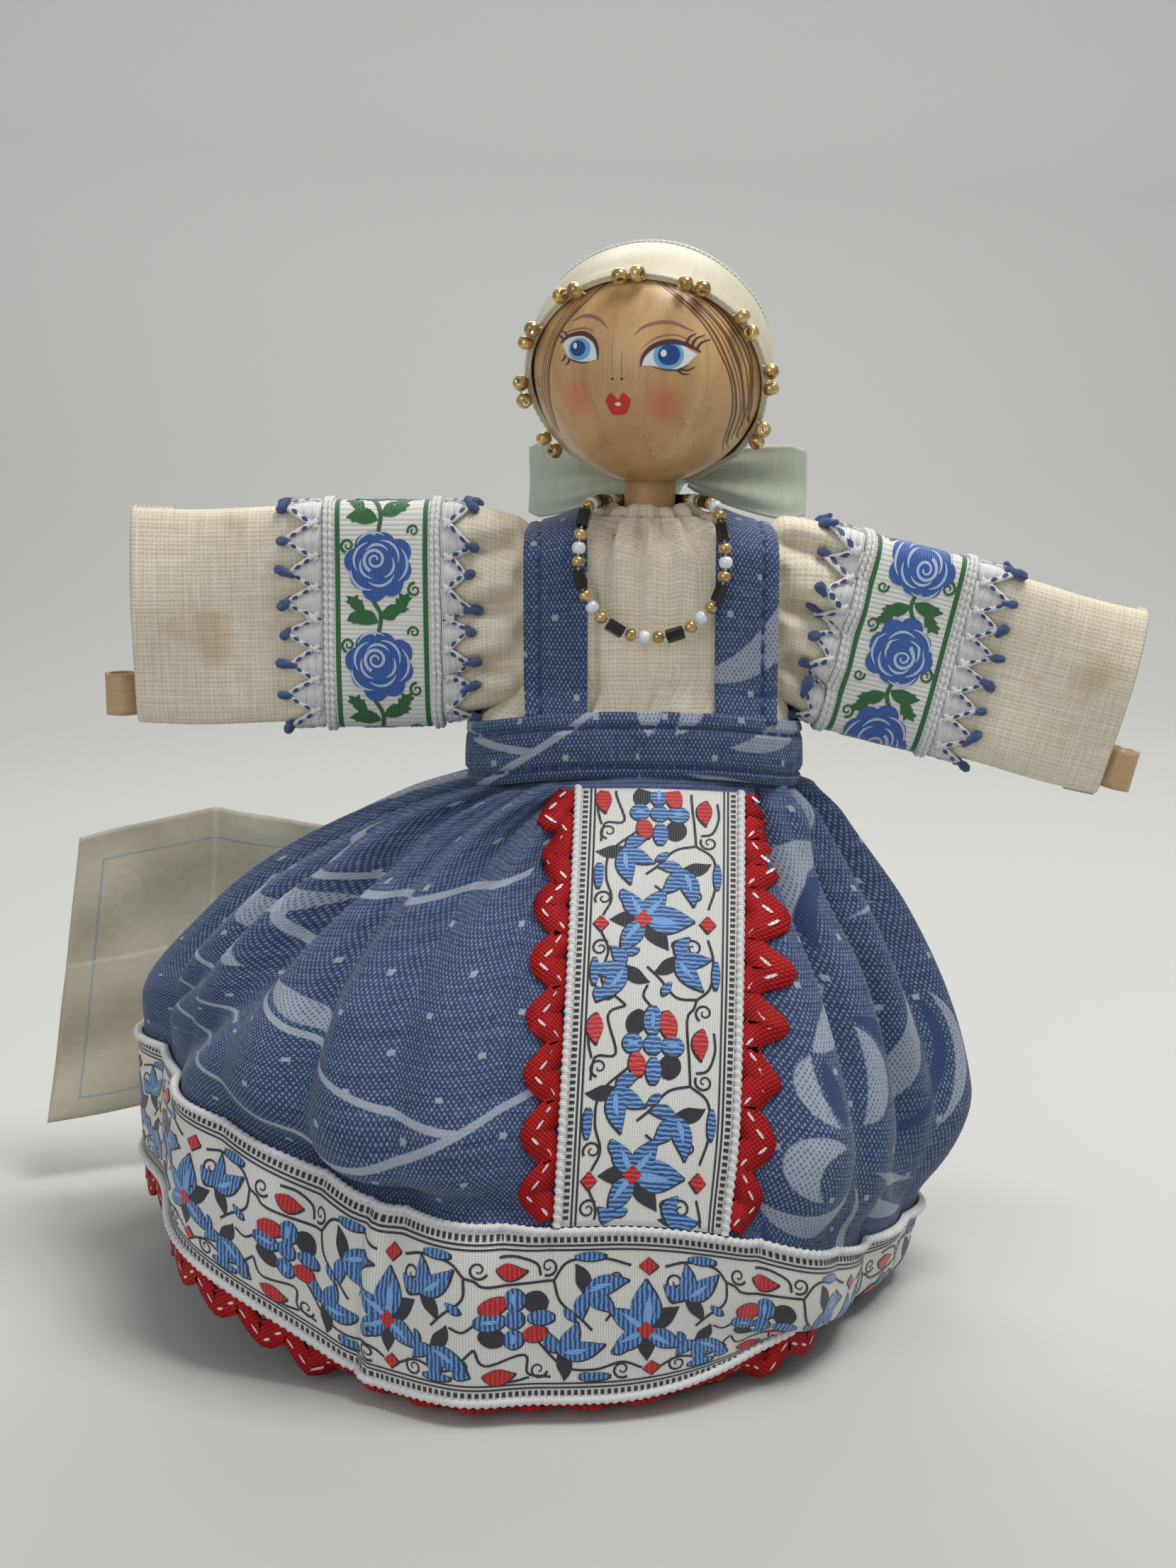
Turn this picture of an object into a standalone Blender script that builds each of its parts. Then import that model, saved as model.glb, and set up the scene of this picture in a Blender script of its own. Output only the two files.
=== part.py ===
"""Folk costume doll: a turned wooden head on a post, dressed in a linen blouse and a blue pinafore.

Metres, +Z up. The doll faces -Y and stands on the flat underside of its foot, whose centre is the origin.
Left and right are the doll's own: its left arm reaches towards +X.
"""
import functools
import math

import bmesh
import bpy
from mathutils import Matrix, Vector

MM = 0.001
DEG = math.pi / 180

# Clearances
GAP = 0.3 * MM
TRIM_GAP = 0.5 * MM
FLOOR_CLEARANCE = 0.6 * MM

# Foot and post
FOOT_RADIUS = 32 * MM
FOOT_THICKNESS = 6 * MM
SOCKET_DEPTH = 4 * MM
POST_RADIUS = 4.25 * MM

# Waistband: outside sizes, and how far its sides hang below its front
WAIST_Z = 90.5 * MM
WAISTBAND_HEIGHT = 11 * MM
WAISTBAND_THICKNESS = 1.2 * MM
WAIST_HALF_WIDTH = 28.5 * MM
WAIST_HALF_DEPTH = 17.5 * MM
WAIST_SHIFT = -2.5 * MM
WAIST_DIP = 3.4 * MM

# Torso under the blouse
TORSO_HEIGHT = 31 * MM
CHEST_HALF_WIDTH = 21.4 * MM
CHEST_HALF_DEPTH = 12.5 * MM
SHOULDER_DROP = 7 * MM
WAIST_FLARE_HEIGHT = 5 * MM
CHEST_SQUARENESS = 4.0
WAIST_SQUARENESS = 2.6
BLOUSE_THICKNESS = 0.8 * MM

# Gathered frill round the neck
FRILL_HALF_WIDTH = 1.9 * MM
FRILL_HALF_HEIGHT = 1.4 * MM
FRILL_PLEAT = 0.3
FRILL_PLEATS = 14

# Pinafore straps
STRAP_WIDTH = 10 * MM
STRAP_SPREAD = 15.3 * MM
STRAP_THICKNESS = 1.0 * MM
STRAP_GAP = 0.7 * MM

# Skirt
SKIRT_THICKNESS = 0.8 * MM
HEM_Z = 3.2 * MM
HEM_LIFT = 8 * MM
HEM_HALF_WIDTH = 69.5 * MM
HEM_FRONT_DEPTH = 62 * MM
HEM_BACK_DEPTH = 58 * MM
HEM_SHIFT = -16.5 * MM
HEM_TUCK = 0.14
HEM_TUCK_START = 0.6
SIDE_FLARE = 3.9
FRONT_FLARE = 2.6
SHIFT_FLARE = 7.0
GATHER_COUNT = 12
GATHER_DEPTH = 1.9 * MM
FOLD_COUNT = 8
FOLD_DEPTH = 2.5 * MM
FOLD_PHASE = 0.9
CREASE_DEPTH = 2.2 * MM
CREASE_ANGLE = -42 * DEG
CREASE_SPREAD = 34 * DEG
SKIRT_COLUMNS = 48

# Woven ribbons on the skirt
RIBBON_WIDTH = 27 * MM
RIBBON_THICKNESS = 0.7 * MM
RIBBON_TOP_X = 1.4 * MM
RIBBON_FOOT_X = -3.5 * MM
RIBBON_FLAT_MARGIN = 14 * MM

# Rickrack
RICKRACK_NECK = 3.2 * MM
RICKRACK_WAVE = 2.4 * MM
RICKRACK_PITCH = 10 * MM
RICKRACK_THICKNESS = 0.8 * MM
RICKRACK_DROP = 0.8 * MM

# Head
HEAD_RADIUS = 19.3 * MM
NECK_LENGTH = 4.9 * MM
SPIGOT_LENGTH = 12 * MM
SCARF_THICKNESS = 0.7 * MM
SCARF_TILT = 26.5 * DEG
SCARF_EDGE = 99.5 * DEG
SCARF_TURN = -10 * DEG

# Glass beads on the scarf's edge
SCARF_BEAD_RADIUS = 1.3 * MM
SCARF_BEAD_PITCH = 3.0 * MM
SCARF_THREAD_RADIUS = 0.5 * MM
SCARF_PAIRS = 9
SCARF_PAIR_FIRST = -125 * DEG
SCARF_PAIR_STEP = 30.4 * DEG

# Bow at the nape
KNOT_RADIUS = 4.6 * MM
KNOT_POLAR = 137 * DEG
BOW_RIBBON_THICKNESS = 0.7 * MM
BOW_REACH = 24.5 * MM
BOW_SWEEP = 2.4 * MM
BOW_DROP = 2.4 * MM
BOW_LOOP_DEPTH = 5.5 * MM
BOW_LOOP_HEIGHT = 12.5 * MM
BOW_PINCH_HEIGHT = 5 * MM
BOW_TAIL_LENGTH = 17 * MM
BOW_TAIL_WIDTH = 9 * MM
BOW_TAIL_SPREAD = 5 * MM
BOW_TAIL_ROOT = 25 * DEG

# Necklace
NECKLACE_BEAD_RADIUS = 1.15 * MM
NECKLACE_THREAD_RADIUS = 0.4 * MM
NECKLACE_BEADS = 44
NECKLACE_HALF_WIDTH = 11.9 * MM
NECKLACE_DROP = 19 * MM

# Sleeves and arms, measured outwards from the shoulder pivot
SHOULDER_INSET = 0.1 * MM
PIVOT_BELOW_CREST = 17 * MM
SLEEVE_LENGTH_RIGHT = 65 * MM
SLEEVE_LENGTH_LEFT = 60.6 * MM
SLEEVE_HALF_HEIGHT_RIGHT = 18.1 * MM
SLEEVE_HALF_HEIGHT_LEFT = 16 * MM
SLEEVE_ROOT_LOWER = 12 * MM
SLEEVE_CUFF_HALF_DEPTH = 4.4 * MM
SLEEVE_ROOT_HALF_DEPTH = 6.2 * MM
SLEEVE_THICKNESS = 0.8 * MM
SLEEVE_SQUARENESS = 4.0
SLEEVE_ROOT_SLOPE = 0.32
SLEEVE_ROOT_SLOPE_TOP = 12 * MM
SLEEVE_FOLD_DEPTH = 0.7 * MM
SLEEVE_FOLDS = 6
SLEEVE_FULL_SHARE = 0.32
TRIM_START_RIGHT = 13.3 * MM
TRIM_START_LEFT = 10.8 * MM
SLEEVE_RIBBON_WIDTH = 19.6 * MM
SLEEVE_RIBBON_THICKNESS = 0.7 * MM
LACE_INNER_WIDTH = 5.6 * MM
LACE_OUTER_WIDTH = 7 * MM
LACE_THICKNESS = 0.6 * MM
HAND_WIDTH = 7 * MM
HAND_REACH = 5.4 * MM
HAND_LOOP_HALF_DEPTH = 2.3 * MM
ARM_STRIP_THICKNESS = 0.7 * MM
ARM_STRIP_SPACING = 0.9 * MM
RIGHT_ARM_DROOP = 0 * DEG
LEFT_ARM_DROOP = 14 * DEG

# Paper tag
TAG_WIDTH = 58 * MM
TAG_HEIGHT = 58 * MM
TAG_TOP_Z = 72.5 * MM
TAG_EDGE_X = -50 * MM
TAG_TURN = 7 * DEG
TAG_CREASE = 3 * MM
TAG_CREASE_SHARE = 0.55
TAG_LEAN = 8 * MM
TAG_PEAK = 12 * MM
TAG_THICKNESS = 0.4 * MM

# Heights that follow from the sizes above
WAIST_TOP_Z = WAIST_Z + WAISTBAND_HEIGHT
CREST_Z = WAIST_TOP_Z + TORSO_HEIGHT
HEAD_Z = CREST_Z + NECK_LENGTH + HEAD_RADIUS
SKIRT_LENGTH = WAIST_Z - HEM_Z
RIBBON_ROW = 1 - RIBBON_WIDTH / SKIRT_LENGTH
FRILL_RADIUS = POST_RADIUS + GAP + FRILL_HALF_WIDTH * (1 + FRILL_PLEAT)
COLLAR_RADIUS = FRILL_RADIUS + FRILL_HALF_WIDTH * (1 + FRILL_PLEAT) + GAP
SHOULDER_X = CHEST_HALF_WIDTH - SHOULDER_INSET
SHOULDER_Z = CREST_Z - PIVOT_BELOW_CREST


def smooth(low, high, value):
    """Ease from 0 at low to 1 at high."""
    share = min(max((value - low) / (high - low), 0.0), 1.0)
    return share * share * (3 - 2 * share)


def mix(first, last, share):
    return first + (last - first) * share


def spaced(first, last, count):
    """Evenly spaced values, both ends included."""
    return [mix(first, last, index / (count - 1)) for index in range(count)]


def around(count):
    """Angles round a full turn."""
    return [2 * math.pi * index / count for index in range(count)]


def superellipse(angle, half_width, half_depth, squareness):
    """Point of a rounded box seen from above; angle 0 is the front, and a quarter turn is +X."""
    across, ahead = math.sin(angle), math.cos(angle)
    power = 2 / squareness
    x = math.copysign(abs(across) ** power, across) * half_width
    y = -math.copysign(abs(ahead) ** power, ahead) * half_depth
    return x, y


def clear_scene():
    for item in list(bpy.data.objects):
        bpy.data.objects.remove(item, do_unlink=True)


def finish(name, colour, roughness, metallic=0.0):
    """Principled material in a plain colour."""
    material = bpy.data.materials.new(name)
    material.use_nodes = True
    shader = material.node_tree.nodes["Principled BSDF"]
    shader.inputs["Base Color"].default_value = (*colour, 1)
    shader.inputs["Roughness"].default_value = roughness
    shader.inputs["Metallic"].default_value = metallic
    material.diffuse_color = (*colour, 1)
    return material


def add(name, points, faces, material, parent=None):
    """Mesh object with its faces turned outwards."""
    mesh = bpy.data.meshes.new(name)
    mesh.from_pydata([tuple(point) for point in points], [], faces)
    shape = bmesh.new()
    shape.from_mesh(mesh)
    bmesh.ops.recalc_face_normals(shape, faces=shape.faces)
    shape.to_mesh(mesh)
    shape.free()
    mesh.shade_smooth()
    mesh.set_sharp_from_angle(angle=40 * DEG)
    mesh.materials.append(material)
    item = bpy.data.objects.new(name, mesh)
    bpy.context.scene.collection.objects.link(item)
    item.parent = parent
    return item


def pivot(name, place, turn=(0, 0, 0)):
    """Empty that carries a moving group on its joint axis."""
    item = bpy.data.objects.new(name, None)
    bpy.context.scene.collection.objects.link(item)
    item.location = place
    item.rotation_euler = turn
    return item


def walled(name, outer, inner, material, wrap, parent=None):
    """Closed solid between two grids of points; wrap joins the last column to the first."""
    rows, columns = len(outer), len(outer[0])
    points = [point for layer in (outer, inner) for row in layer for point in row]
    steps = columns if wrap else columns - 1

    def at(layer, row, column):
        return (layer * rows + row) * columns + column % columns

    faces = []
    for row in range(rows - 1):
        for column in range(steps):
            for layer in (0, 1):
                faces.append((at(layer, row, column), at(layer, row, column + 1),
                              at(layer, row + 1, column + 1), at(layer, row + 1, column)))
    for row in (0, rows - 1):
        for column in range(steps):
            faces.append((at(0, row, column), at(0, row, column + 1),
                          at(1, row, column + 1), at(1, row, column)))
    if not wrap:
        for column in (0, columns - 1):
            for row in range(rows - 1):
                faces.append((at(0, row, column), at(0, row + 1, column),
                              at(1, row + 1, column), at(1, row, column)))
    return add(name, points, faces, material, parent)


def lifted(skin, u, v, height):
    """Point at a height above a skin; seen from outside, u runs to the right and v runs down."""
    step = 1e-4
    along = Vector(skin(u + step, v)) - Vector(skin(u - step, v))
    down = Vector(skin(u, v + step)) - Vector(skin(u, v - step))
    return Vector(skin(u, v)) + down.cross(along).normalized() * height


def cloth(name, skin, columns, rows, low, high, material, wrap=False, parent=None):
    """Sheet that follows a skin, between two heights above it."""
    outer = [[lifted(skin, u, v, high) for u in columns] for v in rows]
    inner = [[lifted(skin, u, v, low) for u in columns] for v in rows]
    return walled(name, outer, inner, material, wrap, parent)


def turned(name, profile, material, segments, frame=Matrix(), parent=None):
    """Solid of revolution; the profile runs from the axis to the axis as (radius, height)."""
    points, rings = [], []
    for radius, height in profile:
        count = 1 if radius == 0 else segments
        rings.append(list(range(len(points), len(points) + count)))
        for angle in around(count):
            points.append(frame @ Vector((radius * math.cos(angle), radius * math.sin(angle), height)))
    faces = []
    for first, second in zip(rings, rings[1:]):
        for index in range(segments):
            following = (index + 1) % segments
            corners = [first[index % len(first)], first[following % len(first)],
                       second[following % len(second)], second[index % len(second)]]
            faces.append(tuple(dict.fromkeys(corners)))
    return add(name, points, faces, material, parent)


def hoop(name, sections, material, parent=None):
    """Closed ring through a loop of closed cross-sections."""
    count, sides = len(sections), len(sections[0])
    points = [point for section in sections for point in section]
    faces = []
    for ring in range(count):
        for side in range(sides):
            following, beside = (ring + 1) % count, (side + 1) % sides
            faces.append((ring * sides + side, following * sides + side,
                          following * sides + beside, ring * sides + beside))
    return add(name, points, faces, material, parent)


# Shape of the skirt

def skirt_half_width(v):
    return mix(WAIST_HALF_WIDTH, HEM_HALF_WIDTH, 1 - max(0.0, 1 - v) ** SIDE_FLARE)


def skirt_centre(v):
    return mix(WAIST_SHIFT, HEM_SHIFT, 1 - max(0.0, 1 - v) ** SHIFT_FLARE)


def front_line(v):
    """Where the front ribbon's middle runs."""
    return mix(RIBBON_TOP_X, RIBBON_FOOT_X, v)


def waist_drop(angle):
    return WAIST_DIP * math.sin(angle) ** 2


def skirt_skin(angle, v):
    """Outside of the skirt: v is 0 under the waistband and 1 at the hem."""
    across, ahead = math.sin(angle), math.cos(angle)
    hem_depth = HEM_FRONT_DEPTH if ahead > 0 else HEM_BACK_DEPTH
    half_depth = mix(WAIST_HALF_DEPTH, hem_depth, 1 - max(0.0, 1 - v) ** FRONT_FLARE)
    tuck = 1 - HEM_TUCK * smooth(HEM_TUCK_START, 1, v) * max(0.0, across)
    x = skirt_centre(v) + skirt_half_width(v) * across * tuck
    y = -half_depth * ahead
    flat_edge = RIBBON_WIDTH / 2
    away = smooth(flat_edge, flat_edge + RIBBON_FLAT_MARGIN, abs(x - front_line(v))) if ahead > 0 else 1
    gather = GATHER_DEPTH * max(0.0, 1 - v) ** 1.5 * math.cos(GATHER_COUNT * angle)
    fold = FOLD_DEPTH * smooth(0, 0.6, v) * math.cos(FOLD_COUNT * angle + FOLD_PHASE)
    spread = math.remainder(angle - CREASE_ANGLE, 2 * math.pi) / CREASE_SPREAD
    crease = CREASE_DEPTH * math.exp(-spread ** 2 - ((v - RIBBON_ROW) / 0.09) ** 2)
    out = away * (gather + fold - crease)
    top = WAIST_Z - GAP - waist_drop(angle)
    bottom = HEM_Z + HEM_LIFT * max(0.0, -across) ** 2
    return x + out * across, y - out * ahead, mix(top, bottom, v)


def front_skin(offset, v):
    """Skirt front by the distance from the front ribbon's middle."""
    across = (front_line(v) + offset - skirt_centre(v)) / skirt_half_width(v)
    return skirt_skin(math.asin(min(max(across, -1.0), 1.0)), v)


def skirt_rows():
    """Rows closer together near the waist, with one at the hem ribbon's upper edge."""
    upper = [RIBBON_ROW * share for share in (0, 0.05, 0.13, 0.25, 0.41, 0.59, 0.79, 1)]
    return upper + [mix(RIBBON_ROW, 1, 0.5), 1]


def make_skirt(damask):
    cloth("skirt", skirt_skin, around(SKIRT_COLUMNS), skirt_rows(), -SKIRT_THICKNESS, 0, damask, wrap=True)


def make_waistband(damask):
    grids = []
    for inset in (0, WAISTBAND_THICKNESS):
        grid = []
        for height in (WAISTBAND_HEIGHT, 0):
            row = []
            for angle in around(SKIRT_COLUMNS):
                x, y = superellipse(angle, WAIST_HALF_WIDTH - inset, WAIST_HALF_DEPTH - inset, WAIST_SQUARENESS)
                row.append((x + WAIST_SHIFT, y, WAIST_Z + height - waist_drop(angle)))
            grid.append(row)
        grids.append(grid)
    walled("waistband", *grids, damask, wrap=True)


def trim_row(height):
    """First row at which a trim of this height clears the waistband."""
    return (height + GAP) / SKIRT_LENGTH


def make_skirt_ribbons(ribbon):
    low, high = TRIM_GAP, TRIM_GAP + RIBBON_THICKNESS
    rows = skirt_rows()
    first = trim_row(high)
    hem_rows = [v for v in rows if v >= RIBBON_ROW]
    cloth("hem_ribbon", skirt_skin, around(SKIRT_COLUMNS), hem_rows, low, high, ribbon, wrap=True)
    front_rows = [first] + [v for v in rows if first < v < RIBBON_ROW] + [RIBBON_ROW - GAP / SKIRT_LENGTH]
    columns = spaced(-RIBBON_WIDTH / 2, RIBBON_WIDTH / 2, 5)
    cloth("front_ribbon", front_skin, columns, front_rows, low, high, ribbon)


def scallop(turns):
    """Width of a rickrack at a place along it, counted in waves."""
    return RICKRACK_NECK + RICKRACK_WAVE * (1 + math.cos(2 * math.pi * turns)) / 2


def make_rickrack(braid):
    steps = 4
    length = RIBBON_ROW * SKIRT_LENGTH
    waves = round(length / RICKRACK_PITCH)
    edge = RIBBON_WIDTH / 2 + GAP
    low, high = TRIM_GAP, TRIM_GAP + RICKRACK_THICKNESS
    rows = spaced(trim_row(high), RIBBON_ROW - GAP / SKIRT_LENGTH, waves * steps + 1)
    for side, name, columns in ((1, "left", (0, 1)), (-1, "right", (-1, 0))):
        def beside(share, v):
            return front_skin(side * edge + share * scallop(v / RIBBON_ROW * waves), v)
        cloth("front_rickrack_" + name, beside, columns, rows, low, high, braid)

    girth = math.pi * (HEM_HALF_WIDTH + (HEM_FRONT_DEPTH + HEM_BACK_DEPTH) / 2)
    hem_waves = round(girth / RICKRACK_PITCH)

    def below(angle, share):
        """Hangs where the hem is high, and folds under it where the hem is near the floor."""
        x, y, z = skirt_skin(angle, 1)
        width = share * scallop(angle / (2 * math.pi) * hem_waves)
        top = z - RICKRACK_DROP
        room = top - RICKRACK_THICKNESS - FLOOR_CLEARANCE
        slope = min(1.0, room / (RICKRACK_NECK + RICKRACK_WAVE))
        under = width * math.sqrt(1 - slope ** 2)
        return x - under * math.sin(angle), y + under * math.cos(angle), top - width * slope

    cloth("hem_rickrack", below, around(hem_waves * steps), (0, 1), 0, RICKRACK_THICKNESS, braid, wrap=True)


# Shape of the torso

def torso_size(z):
    """Middle, half width and half depth of the blouse at a height."""
    shoulder = math.cos(smooth_share(CREST_Z - SHOULDER_DROP, CREST_Z, z) * math.pi / 2)
    half_width = mix(COLLAR_RADIUS, CHEST_HALF_WIDTH, shoulder)
    half_depth = mix(COLLAR_RADIUS, CHEST_HALF_DEPTH, shoulder)
    flare = 1 - smooth(WAIST_TOP_Z - WAIST_DIP - WAIST_FLARE_HEIGHT, WAIST_TOP_Z + WAIST_FLARE_HEIGHT / 2, z)
    inside = WAISTBAND_THICKNESS + GAP
    half_width = mix(half_width, WAIST_HALF_WIDTH - inside, flare)
    half_depth = mix(half_depth, WAIST_HALF_DEPTH - inside, flare)
    return WAIST_SHIFT * flare, half_width, half_depth


def smooth_share(low, high, value):
    """Straight share of the way from low to high, kept between 0 and 1."""
    return min(max((value - low) / (high - low), 0.0), 1.0)


def torso_squareness(z):
    """Boxy over the chest, rounder at the waist and at the neck."""
    lower = mix(WAIST_SQUARENESS, CHEST_SQUARENESS, smooth(WAIST_Z, WAIST_TOP_Z + WAIST_FLARE_HEIGHT, z))
    return mix(lower, 2.0, smooth(CREST_Z - SHOULDER_DROP, CREST_Z, z))


def torso_point(angle, z):
    middle, half_width, half_depth = torso_size(z)
    x, y = superellipse(angle, half_width, half_depth, torso_squareness(z))
    return x + middle, y, z


def torso_skin(angle, depth):
    """Outside of the blouse by the depth below its crest."""
    return torso_point(angle, CREST_Z - depth)


def torso_depths():
    """Depths from the crest down, closer together over the shoulders."""
    shoulder = [SHOULDER_DROP * share for share in (0, 0.2, 0.5, 0.75, 1)]
    return shoulder + [mix(SHOULDER_DROP, TORSO_HEIGHT, 0.5), TORSO_HEIGHT - WAIST_FLARE_HEIGHT / 2,
                       TORSO_HEIGHT, TORSO_HEIGHT + WAIST_FLARE_HEIGHT, TORSO_HEIGHT + WAISTBAND_HEIGHT - GAP]


def make_torso(linen, wadding):
    angles = around(28)
    depths = torso_depths()
    cloth("blouse_body", torso_skin, angles, depths, -BLOUSE_THICKNESS, 0, linen, wrap=True)

    inset = BLOUSE_THICKNESS + GAP
    bore = POST_RADIUS + GAP
    outer = [[lifted(torso_skin, angle, depth, -inset) for angle in angles] for depth in depths[2:]]
    inner = [[(bore * math.sin(angle), -bore * math.cos(angle), point.z)
              for angle, point in zip(angles, row)] for row in outer]
    walled("torso_padding", outer, inner, wadding, wrap=True)


def make_frill(linen):
    sections = []
    for angle in around(FRILL_PLEATS * 4):
        swell = 1 + FRILL_PLEAT * math.cos(FRILL_PLEATS * angle)
        section = []
        for turn in around(6):
            radius = FRILL_RADIUS + FRILL_HALF_WIDTH * swell * math.cos(turn)
            height = CREST_Z - FRILL_HALF_HEIGHT + FRILL_HALF_HEIGHT * swell * math.sin(turn)
            section.append((radius * math.sin(angle), -radius * math.cos(angle), height))
        sections.append(section)
    hoop("collar_frill", sections, linen)


def over_shoulder(x, way):
    """Blouse surface at an angle about the middle of the chest; a quarter turn is straight up."""
    middle_z = mix(WAIST_TOP_Z, CREST_Z, 0.5)
    low, high = 0.0, TORSO_HEIGHT * 2
    for _ in range(36):
        reach = (low + high) / 2
        y, z = reach * math.cos(way), middle_z + reach * math.sin(way)
        middle, half_width, half_depth = torso_size(z)
        power = torso_squareness(z)
        inside = z < CREST_Z and abs((x - middle) / half_width) ** power + abs(y / half_depth) ** power < 1
        low, high = (reach, high) if inside else (low, reach)
    return x, low * math.cos(way), middle_z + low * math.sin(way)


@functools.lru_cache(maxsize=None)
def strap_end(x):
    """Angle at which a strap meets the waistband's upper edge."""
    band_drop = WAIST_DIP * abs((x - WAIST_SHIFT) / WAIST_HALF_WIDTH) ** WAIST_SQUARENESS
    end_z = WAIST_TOP_Z - band_drop + GAP
    low, high = -80 * DEG, 0.0
    for _ in range(30):
        angle = (low + high) / 2
        low, high = (low, angle) if over_shoulder(x, angle)[2] > end_z else (angle, high)
    return high


def strap_skin(x, share):
    """Strap from the waistband behind, over the shoulder, to the waistband in front."""
    end = strap_end(x)
    return over_shoulder(x, mix(end, math.pi - end, share))


def make_straps(damask):
    shares = spaced(0, 1, 35)
    inner = STRAP_SPREAD - STRAP_WIDTH / 2
    for side, name in ((1, "left"), (-1, "right")):
        columns = sorted(side * (inner + STRAP_WIDTH * share) for share in (0, 0.4, 0.7, 0.88, 1))
        cloth("strap_" + name, strap_skin, columns, shares, STRAP_GAP, STRAP_GAP + STRAP_THICKNESS, damask)


def make_post(wood):
    socket_floor = FOOT_THICKNESS - SOCKET_DEPTH
    bore = POST_RADIUS + GAP
    turned("foot_disc", [(0, socket_floor), (bore, socket_floor), (bore, FOOT_THICKNESS),
                         (FOOT_RADIUS - MM, FOOT_THICKNESS), (FOOT_RADIUS, FOOT_THICKNESS - MM),
                         (FOOT_RADIUS, 0), (0, 0)], wood, 40)
    top = HEAD_Z - HEAD_RADIUS + SPIGOT_LENGTH
    turned("body_post", [(0, top), (POST_RADIUS - MM, top), (POST_RADIUS, top - MM),
                         (POST_RADIUS, socket_floor + GAP), (0, socket_floor + GAP)], wood, 20)


# Necklace

def necklace_route():
    """Half of the loop, from the nape to the lowest bead in front."""
    stand = STRAP_GAP + STRAP_THICKNESS + GAP + NECKLACE_BEAD_RADIUS
    nape = POST_RADIUS + GAP + NECKLACE_BEAD_RADIUS
    rest_z = CREST_Z + FRILL_HALF_HEIGHT * FRILL_PLEAT + GAP + NECKLACE_BEAD_RADIUS
    edge = COLLAR_RADIUS + stand
    chest = CHEST_HALF_DEPTH + stand
    low = CREST_Z - NECKLACE_DROP
    return [Vector(point) for point in (
        (0, nape, rest_z), (nape * 0.9, nape * 0.45, rest_z),
        (NECKLACE_HALF_WIDTH * 0.72, -edge * 0.42, rest_z + 0.3 * MM),
        (NECKLACE_HALF_WIDTH * 0.9, -edge * 0.98, rest_z - 0.8 * MM),
        (NECKLACE_HALF_WIDTH, -chest, mix(rest_z, low, 0.42)),
        (NECKLACE_HALF_WIDTH * 0.86, -chest, mix(rest_z, low, 0.72)),
        (NECKLACE_HALF_WIDTH * 0.46, -chest, mix(rest_z, low, 0.94)), (0, -chest, low))]


def through(points, count):
    """Closed smooth curve through points, read at even steps of its length."""
    total = len(points)
    fine = []
    for index in range(total):
        before, first, last, after = (points[(index + shift) % total] for shift in (-1, 0, 1, 2))
        for share in spaced(0, 1, 17)[:-1]:
            fine.append(0.5 * (2 * first + (last - before) * share
                               + (2 * before - 5 * first + 4 * last - after) * share ** 2
                               + (3 * first - 3 * last + after - before) * share ** 3))
    lengths = [0.0]
    for index, point in enumerate(fine):
        lengths.append(lengths[-1] + (fine[(index + 1) % len(fine)] - point).length)
    result, place = [], 0
    for step in range(count):
        target = lengths[-1] * step / count
        while lengths[place + 1] < target:
            place += 1
        share = (target - lengths[place]) / (lengths[place + 1] - lengths[place])
        result.append(fine[place].lerp(fine[(place + 1) % len(fine)], share))
    return result


def make_necklace(glass, parent):
    half = necklace_route()
    loop = half + [Vector((-point.x, point.y, point.z)) for point in reversed(half[1:-1])]
    swell = (NECKLACE_THREAD_RADIUS, NECKLACE_BEAD_RADIUS * 0.86, NECKLACE_BEAD_RADIUS,
             NECKLACE_BEAD_RADIUS * 0.86)
    path = through(loop, NECKLACE_BEADS * len(swell))
    middle = sum(path, Vector()) / len(path)
    sections = []
    for index, point in enumerate(path):
        ahead = (path[(index + 1) % len(path)] - path[index - 1]).normalized()
        side = ahead.cross(point - middle).normalized()
        up = side.cross(ahead)
        radius = swell[index % len(swell)]
        sections.append([point + radius * (side * math.cos(turn) + up * math.sin(turn)) - parent.location
                         for turn in around(6)])
    hoop("necklace", sections, glass, parent)


# Head, built about the ball's centre and facing -Y

def arc(radius, first, last, count):
    """Profile points of a ball, by the angle from its pole; the pole itself lies on the axis."""
    points = []
    for angle in spaced(first, last, count):
        across = radius * math.sin(angle)
        points.append((0 if abs(across) < 1e-9 else across, radius * math.cos(angle)))
    return points


def make_head_ball(wood, parent):
    bore = POST_RADIUS + GAP
    floor = -HEAD_RADIUS + SPIGOT_LENGTH + GAP
    mouth = math.pi - math.asin(bore / HEAD_RADIUS)
    turned("head_ball", arc(HEAD_RADIUS, 0, mouth, 15) + [(bore, floor), (0, floor)], wood, 28, parent=parent)


def scarf_frame():
    """Axis of the scarf's cap, backwards and up, turned with the scarf."""
    return Matrix.Rotation(SCARF_TURN, 4, "Z") @ Matrix.Rotation(-(math.pi / 2 - SCARF_TILT), 4, "X")


def make_scarf(satin, parent):
    inner = HEAD_RADIUS + GAP
    outer = inner + SCARF_THICKNESS
    profile = arc(outer, 0, SCARF_EDGE, 9) + arc(inner, SCARF_EDGE, 0, 9)
    turned("head_scarf", profile, satin, 26, scarf_frame(), parent)
    return outer


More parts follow.
